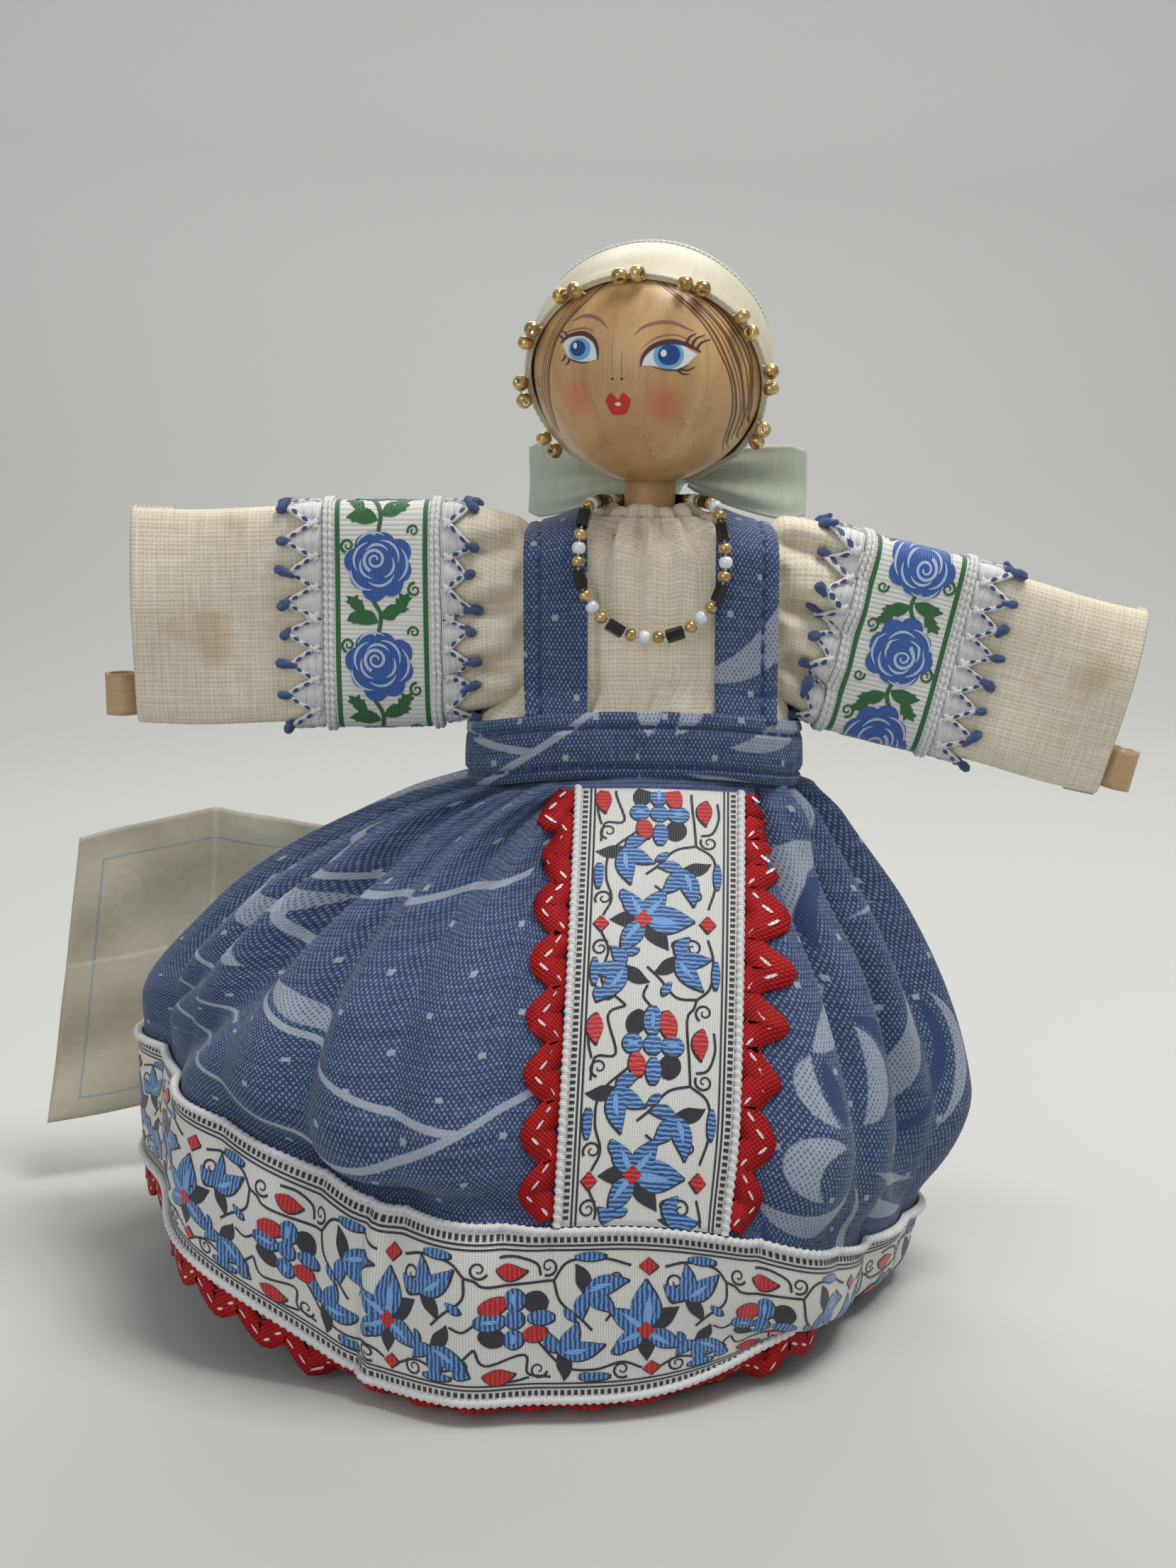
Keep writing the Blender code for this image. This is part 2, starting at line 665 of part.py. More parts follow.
def make_scarf_beads(glass, scarf_radius, parent):
    seat = scarf_radius + GAP + SCARF_BEAD_RADIUS
    half = SCARF_BEAD_PITCH / 2
    bead = [(0.45, 0.9), (1, 0), (0.45, -0.9)]
    profile = [(0, half + SCARF_BEAD_RADIUS)]
    for middle in (half, -half):
        profile += [(SCARF_THREAD_RADIUS, middle + SCARF_BEAD_RADIUS)] if middle < 0 else []
        profile += [(SCARF_BEAD_RADIUS * wide, middle + SCARF_BEAD_RADIUS * high) for wide, high in bead]
    profile.append((0, -half - SCARF_BEAD_RADIUS))
    for index in range(SCARF_PAIRS):
        around_edge = math.pi + SCARF_PAIR_FIRST + SCARF_PAIR_STEP * index
        place = (scarf_frame() @ Matrix.Rotation(around_edge, 4, "Z")
                 @ Matrix.Rotation(-(SCARF_EDGE - 3 * DEG), 4, "X") @ Matrix.Translation((0, 0, seat))
                 @ Matrix.Rotation(math.pi / 2, 4, "Y"))
        turned("scarf_bead_pair_%d" % (index + 1), profile, glass, 8, place, parent)


def knot_place(scarf_radius):
    reach = scarf_radius + GAP + KNOT_RADIUS
    return Vector((0, reach * math.sin(KNOT_POLAR), reach * math.cos(KNOT_POLAR)))


def make_bow(satin, scarf_radius, parent):
    turn = Matrix.Rotation(SCARF_TURN, 4, "Z")
    knot = knot_place(scarf_radius)
    turned("scarf_knot", arc(KNOT_RADIUS, 0, math.pi, 9), satin, 14, turn @ Matrix.Translation(knot), parent)
    half = BOW_RIBBON_THICKNESS / 2
    start = KNOT_RADIUS + GAP + half
    for side, name in ((1, "left"), (-1, "right")):
        def loop(share, across):
            out = math.sin(math.pi * share)
            reach = mix(start, BOW_REACH, out)
            spread = -math.cos(math.pi * share) * BOW_RIBBON_THICKNESS
            back = BOW_SWEEP * out - BOW_LOOP_DEPTH / 2 * math.sin(2 * math.pi * share) + spread
            height = mix(BOW_PINCH_HEIGHT, BOW_LOOP_HEIGHT, out ** 0.6) / 2
            return turn @ (knot + Vector((side * reach, back, -across * height - BOW_DROP * out)))

        cloth("bow_loop_" + name, loop, spaced(0.001, 0.999, 17), (-1, 0, 1), -half, half, satin, parent=parent)

        def tail(across, share):
            root = KNOT_RADIUS + GAP + half
            x = side * (root * math.sin(BOW_TAIL_ROOT) + BOW_TAIL_SPREAD * share)
            x += across * BOW_TAIL_WIDTH / 2 * mix(0.25, 1, share)
            y = knot.y + KNOT_RADIUS * 0.55 * math.sin(math.pi / 2 * min(share * 2, 1))
            z = knot.z - root * math.cos(BOW_TAIL_ROOT) - share * BOW_TAIL_LENGTH
            return turn @ Vector((x, y, z))

        cloth("bow_tail_" + name, tail, spaced(-0.5, 0.5, 3), spaced(0, 1, 6),
              -half, half, satin, parent=parent)


# Arms, built outwards along +X from the shoulder pivot and mirrored for the right side

def sleeve_skin(side, length, half_height):
    """Outside of a sleeve: u goes round it, v runs from the shoulder to the cuff."""
    def skin(angle, reach):
        share = reach / length
        lower = mix(SLEEVE_ROOT_LOWER, half_height, smooth(0, SLEEVE_FULL_SHARE, share))
        up, behind = math.cos(angle), math.sin(angle)
        power = 2 / SLEEVE_SQUARENESS
        height = half_height if up > 0 else lower
        depth = mix(SLEEVE_ROOT_HALF_DEPTH, SLEEVE_CUFF_HALF_DEPTH, smooth(0, 0.5, share))
        depth += SLEEVE_FOLD_DEPTH * math.cos(SLEEVE_FOLDS * angle) * (1 - smooth(0, 0.4, share))
        z = math.copysign(abs(up) ** power, up) * height
        y = math.copysign(abs(behind) ** power, behind) * depth
        return side * reach, side * y, z
    return skin


def sleeve_root(z):
    """How far out a sleeve starts, so that it can tilt at the shoulder."""
    return GAP + min(abs(z), SLEEVE_ROOT_SLOPE_TOP) * SLEEVE_ROOT_SLOPE


def make_sleeve(name, skin, length, trim_start, parent, finishes):
    linen, ribbon, lace = finishes
    angles = around(20)

    def tapered(angle, share):
        z = skin(angle, 0)[2]
        return skin(angle, mix(sleeve_root(z), length, share))

    rows = (0, 0.1, 0.2, 0.32, 0.55, 0.8, 1)
    cloth("sleeve_" + name, tapered, angles, rows, -SLEEVE_THICKNESS, 0, linen, True, parent)

    lace_start = trim_start - GAP - LACE_INNER_WIDTH
    lace_outer = trim_start + SLEEVE_RIBBON_WIDTH + GAP
    bands = (("sleeve_lace_inner_", lace_start, LACE_INNER_WIDTH, LACE_THICKNESS, lace),
             ("sleeve_ribbon_", trim_start, SLEEVE_RIBBON_WIDTH, SLEEVE_RIBBON_THICKNESS, ribbon),
             ("sleeve_lace_outer_", lace_outer, LACE_OUTER_WIDTH, LACE_THICKNESS, lace))
    for label, start, width, thickness, material in bands:
        rows = spaced(start, start + width, 4)
        cloth(label + name, skin, angles, rows, TRIM_GAP, TRIM_GAP + thickness, material, True, parent)


def make_arm_strip(name, side, length, half_height, strip, parent):
    far = length + HAND_REACH
    below = half_height - SLEEVE_THICKNESS - GAP - HAND_WIDTH / 2

    def skin(share, across):
        """Flat strip: out along the front, round the hand loop and a little way back."""
        front = share < 0.5
        start = length * (SLEEVE_FULL_SHARE + 0.1 if front else 0.6)
        x = mix(start, far, math.sin(math.pi * share))
        beyond = max(0.0, x - length) / HAND_REACH
        bulge = smooth(0, 0.45, beyond) * math.sqrt(max(0.0, 1 - beyond ** 4))
        spacing = ARM_STRIP_SPACING * math.sqrt(max(0.0, 1 - (x / far) ** 40))
        y = spacing + bulge * (HAND_LOOP_HALF_DEPTH - ARM_STRIP_SPACING)
        return side * x, side * (-y if front else y), -below - across * HAND_WIDTH / 2

    half = ARM_STRIP_THICKNESS / 2
    out = [0.0, 0.16, 0.3, 0.36, 0.39, 0.42, 0.45, 0.475, 0.49]
    shares = out + [0.5] + [1 - share for share in reversed(out)]
    cloth("arm_strip_" + name, skin, shares, (-1, 1), -half, half, strip, parent=parent)


def make_arm(name, side, sizes, parent, finishes, strip):
    length, half_height, trim_start = sizes
    skin = sleeve_skin(side, length, half_height)
    make_sleeve(name, skin, length, trim_start, parent, finishes)
    make_arm_strip(name, side, length, half_height, strip, parent)


# Paper tag, hinged where its edge is sewn to the back of the skirt

def tag_seat():
    """Sewn edge of the tag: just outside the skirt's fullest place at that edge."""
    back = [skirt_skin(angle, v) for angle in spaced(math.pi, 1.5 * math.pi, 120) for v in spaced(0.2, 1, 20)]
    depth = max(point[1] for point in back if abs(point[0] - TAG_EDGE_X) < MM)
    return Vector((TAG_EDGE_X, depth + TRIM_GAP + RIBBON_THICKNESS + TAG_THICKNESS / 2, TAG_TOP_Z))


def make_tag(paper, parent):
    def sheet(across, down):
        reach, fall = across / TAG_WIDTH, down / TAG_HEIGHT
        beside_crease = abs(reach - TAG_CREASE_SHARE)
        bend = TAG_CREASE * (beside_crease - TAG_CREASE_SHARE + abs(fall - 0.46) * smooth(0, 0.3, reach))
        lean = Matrix.Rotation(TAG_TURN, 3, "Z") @ Vector((-across - TAG_LEAN * reach * fall, -bend, 0))
        return lean.x, lean.y, -down - TAG_PEAK * beside_crease * (1 - fall / 2)

    half = TAG_THICKNESS / 2
    columns = [TAG_WIDTH * share for share in (0, 0.2, 0.4, TAG_CREASE_SHARE, 0.7, 0.85, 1)]
    rows = [TAG_HEIGHT * share for share in (0, 0.25, 0.46, 0.7, 1)]
    cloth("paper_tag", sheet, columns, rows, -half, half, paper, parent=parent)


def main():
    clear_scene()
    wood = finish("turned_wood", (0.62, 0.40, 0.20), 0.35)
    linen = finish("cream_linen", (0.80, 0.75, 0.64), 0.9)
    wadding = finish("wadding", (0.85, 0.84, 0.80), 0.95)
    damask = finish("blue_damask", (0.13, 0.20, 0.42), 0.75)
    jacquard = finish("woven_ribbon", (0.80, 0.80, 0.80), 0.6)
    rose_ribbon = finish("rose_ribbon", (0.72, 0.78, 0.80), 0.6)
    braid = finish("red_rickrack", (0.70, 0.02, 0.03), 0.7)
    lace = finish("white_lace", (0.85, 0.85, 0.86), 0.8)
    satin = finish("cream_satin", (0.82, 0.82, 0.74), 0.35)
    gold = finish("gold_glass", (0.62, 0.42, 0.12), 0.15)
    string = finish("necklace_glass", (0.25, 0.18, 0.10), 0.15)
    strip = finish("tan_strip", (0.60, 0.42, 0.24), 0.4)
    paper = finish("aged_paper", (0.66, 0.63, 0.56), 0.85)

    make_post(wood)
    make_torso(linen, wadding)
    make_frill(linen)
    make_straps(damask)
    make_waistband(damask)
    make_skirt(damask)
    make_skirt_ribbons(jacquard)
    make_rickrack(braid)

    nape = necklace_route()[0]
    make_necklace(string, pivot("necklace_pivot", nape))

    head = pivot("head_pivot", (0, 0, HEAD_Z))
    make_head_ball(wood, head)
    scarf_radius = make_scarf(satin, head)
    make_scarf_beads(gold, scarf_radius, head)
    make_bow(satin, scarf_radius, head)

    finishes = (linen, rose_ribbon, lace)
    left_sizes = (SLEEVE_LENGTH_LEFT, SLEEVE_HALF_HEIGHT_LEFT, TRIM_START_LEFT)
    left = pivot("left_shoulder", (SHOULDER_X, 0, SHOULDER_Z), (0, LEFT_ARM_DROOP, 0))
    make_arm("left", 1, left_sizes, left, finishes, strip)
    right_sizes = (SLEEVE_LENGTH_RIGHT, SLEEVE_HALF_HEIGHT_RIGHT, TRIM_START_RIGHT)
    right = pivot("right_shoulder", (-SHOULDER_X, 0, SHOULDER_Z), (0, -RIGHT_ARM_DROOP, 0))
    make_arm("right", -1, right_sizes, right, finishes, strip)

    make_tag(paper, pivot("tag_hinge", tag_seat()))
    bpy.context.view_layer.update()


main()
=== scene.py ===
# %% [markdown]
# # Dressing a folk costume doll
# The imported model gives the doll's solids and joints. This lesson dresses them: cloth, ribbons, lace, beads
# and a painted wooden face. Each soft piece is a mesh over a formula, so that ribbons, stitches and woven
# flowers can be laid on the same formula and always fit.

# %% Load the frame
import math

import bpy
import numpy as np
from mathutils import Matrix, Vector


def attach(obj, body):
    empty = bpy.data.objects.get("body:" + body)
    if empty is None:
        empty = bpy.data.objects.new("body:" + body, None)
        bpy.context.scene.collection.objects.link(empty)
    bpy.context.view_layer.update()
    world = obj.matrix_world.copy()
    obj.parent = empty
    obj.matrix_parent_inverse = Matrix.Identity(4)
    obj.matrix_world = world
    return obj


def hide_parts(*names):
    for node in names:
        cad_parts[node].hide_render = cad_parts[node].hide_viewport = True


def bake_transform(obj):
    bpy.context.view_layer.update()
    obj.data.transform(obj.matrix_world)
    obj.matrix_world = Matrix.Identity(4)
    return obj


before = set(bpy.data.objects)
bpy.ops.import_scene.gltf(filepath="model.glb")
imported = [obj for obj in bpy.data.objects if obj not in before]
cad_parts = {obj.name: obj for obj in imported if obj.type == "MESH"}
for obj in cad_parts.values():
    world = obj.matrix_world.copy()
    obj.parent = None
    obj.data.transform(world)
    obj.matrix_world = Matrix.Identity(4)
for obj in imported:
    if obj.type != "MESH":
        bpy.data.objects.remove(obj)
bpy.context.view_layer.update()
MM = 0.001
TURN = 2 * math.pi

# %% [markdown]
# ## Shader maths as Python
# A material is a graph of small nodes. Adding each by hand hides the idea, so one class wraps a socket and
# lets Python's operators add the Math nodes. Any other node comes from make().

# %% The class that wraps a socket


class Field:
    """A value that varies over a surface."""

    def __init__(self, tree, socket=None):
        self.tree, self.socket = tree, socket

    def make(self, kind, settings=None, sockets=None, output=0):
        """Add a node: its settings are set first, then the values or links of its sockets."""
        node = self.tree.nodes.new(kind)
        for key, value in (settings or {}).items():
            setattr(node, key, value)
        for key, value in (sockets or {}).items():
            if isinstance(value, Field):
                self.tree.links.new(value.socket, node.inputs[key])
            else:
                node.inputs[key].default_value = value
        return Field(self.tree, node.outputs[output])

    def also(self, output):
        """Another output of the same node."""
        return Field(self.tree, self.socket.node.outputs[output])

    def math(self, operation, *values):
        return self.make("ShaderNodeMath", {"operation": operation}, dict(enumerate(values)))

    def __add__(self, other):
        return self.math("ADD", self, other)

    def __sub__(self, other):
        return self.math("SUBTRACT", self, other)

    def __mul__(self, other):
        return self.math("MULTIPLY", self, other)

    def __truediv__(self, other):
        return self.math("DIVIDE", self, other)

    def __radd__(self, other):
        return self.math("ADD", other, self)

    def __rsub__(self, other):
        return self.math("SUBTRACT", other, self)

    def __rmul__(self, other):
        return self.math("MULTIPLY", other, self)

    def __pow__(self, other):
        return self.math("POWER", self, other)

    def __abs__(self):
        return self.math("ABSOLUTE", self)

    def sin(self):
        return self.math("SINE", self)

    def fract(self):
        return self.math("FRACT", self)

    def floor(self):
        return self.math("FLOOR", self)

    def most(self, other):
        return self.math("MAXIMUM", self, other)

    def least(self, other):
        return self.math("MINIMUM", self, other)

    def rise(self, low, high):
        """Smooth step from 0 at low to 1 at high."""
        return self.make("ShaderNodeMapRange", {"interpolation_type": "SMOOTHSTEP"},
                         {"Value": self, "From Min": low, "From Max": high})

    def tint(self, under, over):
        """Colour: under where this is 0, over where it is 1."""
        sockets = {0: self}
        for key, colour in ((6, under), (7, over)):
            sockets[key] = colour if isinstance(colour, Field) else (*colour, 1)
        return self.make("ShaderNodeMix", {"data_type": "RGBA"}, sockets, 2)


def noise(start, place, scale, detail=3.0):
    return start.make("ShaderNodeTexNoise", {}, {"Vector": place, "Scale": scale, "Detail": detail})


def streaks(start, place, stretch, detail=2.0):
    """Noise stretched along its axes, like long threads or grain."""
    return noise(start, start.make("ShaderNodeMapping", {}, {0: place, 3: stretch}), 1.0, detail)


def finish(name, roughness, paint):
    """Material from paint(start), which gives a colour, a bump's height and depth, and sockets to set."""
    material = bpy.data.materials.new(name)
    material.use_nodes = True
    tree = material.node_tree
    shader = tree.nodes["Principled BSDF"]
    shader.inputs["Roughness"].default_value = roughness
    colour, height, depth, extra = paint(Field(tree))
    tree.links.new(colour.socket, shader.inputs["Base Color"])
    if height is not None:
        bump = colour.make("ShaderNodeBump", {}, {"Strength": 1.0, "Distance": depth, "Height": height})
        tree.links.new(bump.socket, shader.inputs["Normal"])
    for key, value in extra.items():
        if isinstance(value, Field):
            tree.links.new(value.socket, shader.inputs[key])
        else:
            shader.inputs[key].default_value = value
    return material


def flat_place(start):
    """Where a point lies on the flat cloth, in metres: (vector, u, v)."""
    place = start.make("ShaderNodeUVMap", {"uv_map": "flat"})
    u = start.make("ShaderNodeSeparateXYZ", {}, {0: place})
    return place, u, u.also(1)


def object_place(start):
    """Where a point lies in its own object, in metres."""
    return start.make("ShaderNodeTexCoord", {}, {}, "Object")


print("shader helpers ready")

# %% [markdown]
# ## Cloth as a formula
# A sheet of cloth here is a function from two numbers to a place in space. Reading it on a fine grid gives
# the mesh, its slopes give the normals, and a lift along the normal lays a trim on top. The UVs hold flat
# metres, so a weave keeps its true size.

# %% Mesh helpers


def ease(low, high, value):
    share = np.clip((value - low) / (high - low), 0, 1)
    return share * share * (3 - 2 * share)


def raised(skin, a, b, lift, step=1e-4):
    """Points at a lift above a skin; seen from outside, a runs to the right and b runs down."""
    along = skin(a + step, b) - skin(a - step, b)
    down = skin(a, b + step) - skin(a, b - step)
    normal = np.cross(down, along)
    normal /= np.linalg.norm(normal, axis=-1, keepdims=True)
    return skin(a, b) + normal * np.asarray(lift)[..., None]


def mesh_object(name, points, faces, uvs, material, smooth=True):
    """Object from points, faces and one UV pair for each face corner."""
    mesh = bpy.data.meshes.new(name)
    mesh.from_pydata(np.asarray(points).reshape(-1, 3).tolist(), [], np.asarray(faces).tolist())
    layer = mesh.uv_layers.new(name="flat")
    layer.data.foreach_set("uv", np.asarray(uvs, dtype=np.float32).ravel())
    if smooth:
        mesh.shade_smooth()
    mesh.materials.append(material)
    item = bpy.data.objects.new(name, mesh)
    bpy.context.scene.collection.objects.link(item)
    return item


def quads(rows, columns, wrap=False):
    """Corner numbers of a grid's faces, turned so that they look outwards."""
    index = np.arange(rows * columns).reshape(rows, columns)
    if wrap:
        index = np.hstack([index, index[:, :1]])
    return np.stack([index[:-1, :-1], index[1:, :-1], index[1:, 1:], index[:-1, 1:]], axis=-1).reshape(-1, 4)


def corner_uvs(uv):
    return np.stack([uv[:-1, :-1], uv[1:, :-1], uv[1:, 1:], uv[:-1, 1:]], axis=2).reshape(-1, 2)


def thicken(item, thickness):
    """Give a sheet its thickness, inwards."""
    if thickness:
        solid = item.modifiers.new("thickness", "SOLIDIFY")
        solid.thickness = thickness
        solid.offset = -1
    return item


def cloth(name, skin, across, down, flat, material, lift=0.0, thickness=0.5 * MM, wrap=False, girth=None,
          fall=None, shift=(0.0, 0.0)):
    """Sheet over a skin; flat = metres per unit across and down, or else girth and fall in metres."""
    a, b = np.meshgrid(across, down)
    points = raised(skin, a, b, lift)
    wide = (np.append(across, across[0] + TURN) if wrap else np.asarray(across)) * flat[0]
    if girth:
        wide = np.linspace(0, girth, len(across) + 1)
    tall = np.asarray(down) * flat[1] if fall is None else np.asarray(fall)
    u, v = np.meshgrid(wide + shift[0], tall + shift[1])
    uvs = corner_uvs(np.stack([u, v], axis=-1))
    item = mesh_object(name, points, quads(len(down), len(across), wrap), uvs, material)
    return thicken(item, thickness)


def around(count):
    return np.arange(count) * TURN / count


def arc_table(points):
    """Distance along a row of points, from its first."""
    return np.append(0, np.cumsum(np.linalg.norm(np.diff(points, axis=0), axis=-1)))


def evenly_round(skin, row, count):
    """Angles at even steps of length round a skin at one row, and the whole girth."""
    turns = np.linspace(0, TURN, 2001)
    arc = arc_table(skin(turns, np.full(2001, row)))
    return np.interp(np.arange(count) * arc[-1] / count, arc, turns), arc[-1]


def wear(item, body, *nodes, slot=None):
    """Let a piece ride on its body and stand for its CAD nodes."""
    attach(item, body)
    if nodes:
        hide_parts(*nodes)
    return item


print("mesh helpers ready")

# %% [markdown]
# ## Strokes
# Woven flowers, stitches, lace and the painted eyes are all strokes: a line with a width that swells and
# thins. One helper lays a list of strokes on any place, which is a function from flat metres to space. This
# keeps their edges crisp from close up, where a painted texture would blur.

# %% Stroke helpers


def smooth_line(points, step=0.7 * MM):
    """Smooth curve through points, read about every step."""
    points = np.asarray(points, dtype=float)
    padded = np.vstack([2 * points[0] - points[1], points, 2 * points[-1] - points[-2]])
    pieces = []
    for index in range(1, len(padded) - 2):
        before, first, last, after = padded[index - 1:index + 3]
        count = max(2, int(np.linalg.norm(last - first) / step) + 1)
        t = np.linspace(0, 1, count, endpoint=False)[:, None]
        pieces.append(0.5 * (2 * first + (last - before) * t
                             + (2 * before - 5 * first + 4 * last - after) * t ** 2
                             + (3 * first - 3 * last + after - before) * t ** 3))
    return np.vstack(pieces + [points[-1:]])


def line(points, width):
    path = smooth_line(points)
    return path, np.full(len(path), width / 2)


def leaf(base, angle, length, width, bend=0.0, count=11):
    """Pointed stroke from its base; bend curves its tip, in radians."""
    t = np.linspace(0, 1, count)
    heading = angle + bend * t
    steps = np.stack([np.cos(heading), np.sin(heading)], axis=-1) * length / (count - 1)
    path = np.asarray(base) + np.vstack([[0, 0], np.cumsum(steps[:-1], axis=0)])
    return path, width / 2 * np.clip(np.sin(np.pi * t ** 0.85), 0.04, 1)


def disc(middle, radius, count=13, squeeze=1.0):
    x = -np.cos(np.linspace(0, np.pi, count))
    path = np.asarray(middle) + np.stack([x * radius, np.zeros(count)], axis=-1)
    return path, radius * squeeze * np.sqrt(np.clip(1 - x ** 2, 1e-4, 1))


def diamond(middle, half_length, half_width):
    path = np.asarray(middle) + np.array([[-half_length, 0], [0, 0], [half_length, 0]])
    return path, np.array([0.02 * half_width, half_width, 0.02 * half_width])


def curl(middle, radius, start, turns, width, count=18):
    """Small spiral that ends at its middle."""
    t = np.linspace(0, 1, count)
    angle = start + turns * TURN * t
    spoke = np.stack([np.cos(angle), np.sin(angle)], axis=-1)
    path = np.asarray(middle) + (radius * (1 - 0.8 * t))[:, None] * spoke
    return path, width / 2 * (1 - 0.5 * t)


def moved(lines, shift):
    return [(path + np.asarray(shift), half) for path, half in lines]


def corners(grid):
    """The four corners of each cell of a grid."""
    return np.stack([grid[:-1, :-1], grid[:-1, 1:], grid[1:, 1:], grid[1:, :-1]], axis=2)


def strokes(name, lines, place, lift, material, body, thickness=0.0):
    """Mesh of strokes laid on a place(s, t, lift); an upright one is measured straight up from its line."""
    points, faces, uvs, start = [], [], [], 0
    for path, half, *upright in lines:
        ahead = np.gradient(path, axis=0)
        ahead /= np.linalg.norm(ahead, axis=-1, keepdims=True) + 1e-12
        side = np.stack([-ahead[:, 1], ahead[:, 0]], axis=-1)
        if upright:
            side = np.tile([0.0, 1.0], (len(path), 1))
        rows = path[:, None] + side[:, None] * half[:, None, None] * np.array([-1, 0, 1])[None, :, None]
        points.append(place(rows[..., 0], rows[..., 1], lift).reshape(-1, 3))
        index = start + np.arange(len(path) * 3).reshape(len(path), 3)
        faces.append(corners(index).reshape(-1, 4))
        uvs.append(corners(rows).reshape(-1, 2))
        start += len(path) * 3
    item = mesh_object(name, np.vstack(points), np.vstack(faces), np.vstack(uvs), material)
    return wear(thicken(item, thickness), body)


def tubes(name, paths, radius, material, body, sides=8, ripple=0.0, pitch=1.3 * MM, closed=False):
    """Round cords along paths of points, with a ripple like that of overcast thread."""
    points, faces, uvs, start = [], [], [], 0
    turn = around(sides)
    for path in paths:
        path = np.asarray(path)
        ahead = np.roll(path, -1, 0) - np.roll(path, 1, 0) if closed else np.gradient(path, axis=0)
        ahead /= np.linalg.norm(ahead, axis=-1, keepdims=True) + 1e-12
        aside = np.cross(ahead, np.array([0.31, 0.42, 0.85]))
        aside /= np.linalg.norm(aside, axis=-1, keepdims=True)
        other = np.cross(ahead, aside)
        length = arc_table(path)
        size = radius * (1 + ripple * np.cos(TURN * length[:, None] / pitch + turn[None]))
        rings = path[:, None] + size[..., None] * (aside[:, None] * np.cos(turn)[None, :, None]
                                                   + other[:, None] * np.sin(turn)[None, :, None])
        points.append(rings.reshape(-1, 3))
        index = start + np.arange(len(path) * sides).reshape(len(path), sides)
        index = np.hstack([index, index[:, :1]])
        if closed:
            index = np.vstack([index, index[:1]])
        faces.append(corners(index).reshape(-1, 4))
        span = np.append(length, length[-1])[:len(index)]
        flat = np.stack(np.meshgrid(np.linspace(0, TURN * radius, sides + 1), span), axis=-1)
        uvs.append(corners(flat).reshape(-1, 2))
        start += len(path) * sides
    return wear(mesh_object(name, np.vstack(points), np.vstack(faces), np.vstack(uvs), material), body)


def lathe(name, profile, segments, material, frames, facets=False):
    """Copies of one turned shape, (radius, height) from end to end, at a list of 4x4 frames."""
    profile = np.asarray(profile)
    turn = around(segments)
    ring = np.stack([profile[:, :1] * np.cos(turn), profile[:, :1] * np.sin(turn),
                     np.repeat(profile[:, 1:], segments, axis=1)], axis=-1).reshape(-1, 3)
    grid = quads(len(profile), segments, wrap=True)
    travel = arc_table(profile)
    flat = np.stack(np.meshgrid(np.append(turn, TURN) * profile[:, 0].max(), travel), axis=-1)
    points, faces = [], []
    for number, place in enumerate(frames):
        place = np.array(place)
        points.append(ring @ place[:3, :3].T + place[:3, 3])
        faces.append(grid + number * len(ring))
    uvs = np.tile(corner_uvs(flat), (len(points), 1))
    return mesh_object(name, np.vstack(points), np.vstack(faces), uvs, material, smooth=not facets)


print("stroke helpers ready")

# %% [markdown]
# ## Cloth finishes
# The blouse is a coarse plain-weave linen: threads about 0.7 mm apart that pass over and under. The weave is
# two rows of humps that trade places in a checkerboard, with slow noise for the slubs of hand-spun thread.

# %% Linen


def plain_weave(start, pitch, waver=0.30):
    """Height of a plain weave, its open gaps, and the place on the cloth."""
    place, u, v = flat_place(start)
    slub = noise(start, place, 700, 2.0) - 0.5
    a, b = u / pitch + slub * waver, v / pitch - slub * waver
    over = ((a.floor() + b.floor()) * 0.5).fract() * 2
    warp, weft = abs((a * math.pi).sin()), abs((b * math.pi).sin())
    gap = (1 - warp.rise(0.1, 0.6)) * (1 - weft.rise(0.1, 0.6))
    return (warp * (0.75 + 0.25 * over)).most(weft * (1 - 0.25 * over)), gap, place, v


def linen_paint(stained):
    def paint(start):
        height, gap, place, v = plain_weave(start, 0.72 * MM)
        weft = streaks(start, place, (110, 1500, 1))
        warp = streaks(start, place, (1500, 110, 1))
        age = noise(start, place, 28, 2.0)
        colour = (weft * 0.5 + warp * 0.5).rise(0.3, 0.7).tint((0.70, 0.62, 0.46), (0.86, 0.79, 0.64))
        # Painted shade: the open gaps between the threads are painted dark brown, for the shade that falls in
        # them.
        colour = (gap * 0.75).tint(colour, (0.36, 0.29, 0.19))
        colour = (age.rise(0.5, 0.8) * 0.25).tint(colour, (0.72, 0.62, 0.42))
        if stained:
            blot = noise(start, place, 60, 3.0).rise(0.52, 0.70) * v.rise(34 * MM, 46 * MM)
            colour = (blot * 0.5).tint(colour, (0.47, 0.30, 0.15))
        return colour, height, 0.08 * MM, {"Sheen Weight": 0.15}
    return paint


linen = finish("cream_linen", 0.92, linen_paint(False))
stained_linen = finish("stained_linen", 0.92, linen_paint(True))
print("linen:", linen.name, stained_linen.name)

# %% [markdown]
# The pinafore is a blue damask. Its ground shows a fine pale dot where the weft comes up, and its figure is
# woven in reverse: pale leaves with blue dots. Each leaf lies between two arcs over one chord, and each vein
# is a stretch of a circle, so distances to a few points draw the whole figure.

# %% Damask


def arc_circle(first, last, sagitta):
    """Middle, radius and chord of the circle through two points, which bulges right of a way down."""
    first, last = np.asarray(first, dtype=float), np.asarray(last, dtype=float)
    chord = last - first
    length = np.linalg.norm(chord)
    aside = np.array([chord[1], -chord[0]]) / length
    radius = (length ** 2 / 4 + sagitta ** 2) / (2 * abs(sagitta))
    middle = (first + last) / 2 + aside * (sagitta - math.copysign(radius, sagitta))
    return (*middle, 0.0), radius, length


def distance(spot, point):
    return spot.make("ShaderNodeVectorMath", {"operation": "DISTANCE"}, {0: spot, 1: point}, 1)


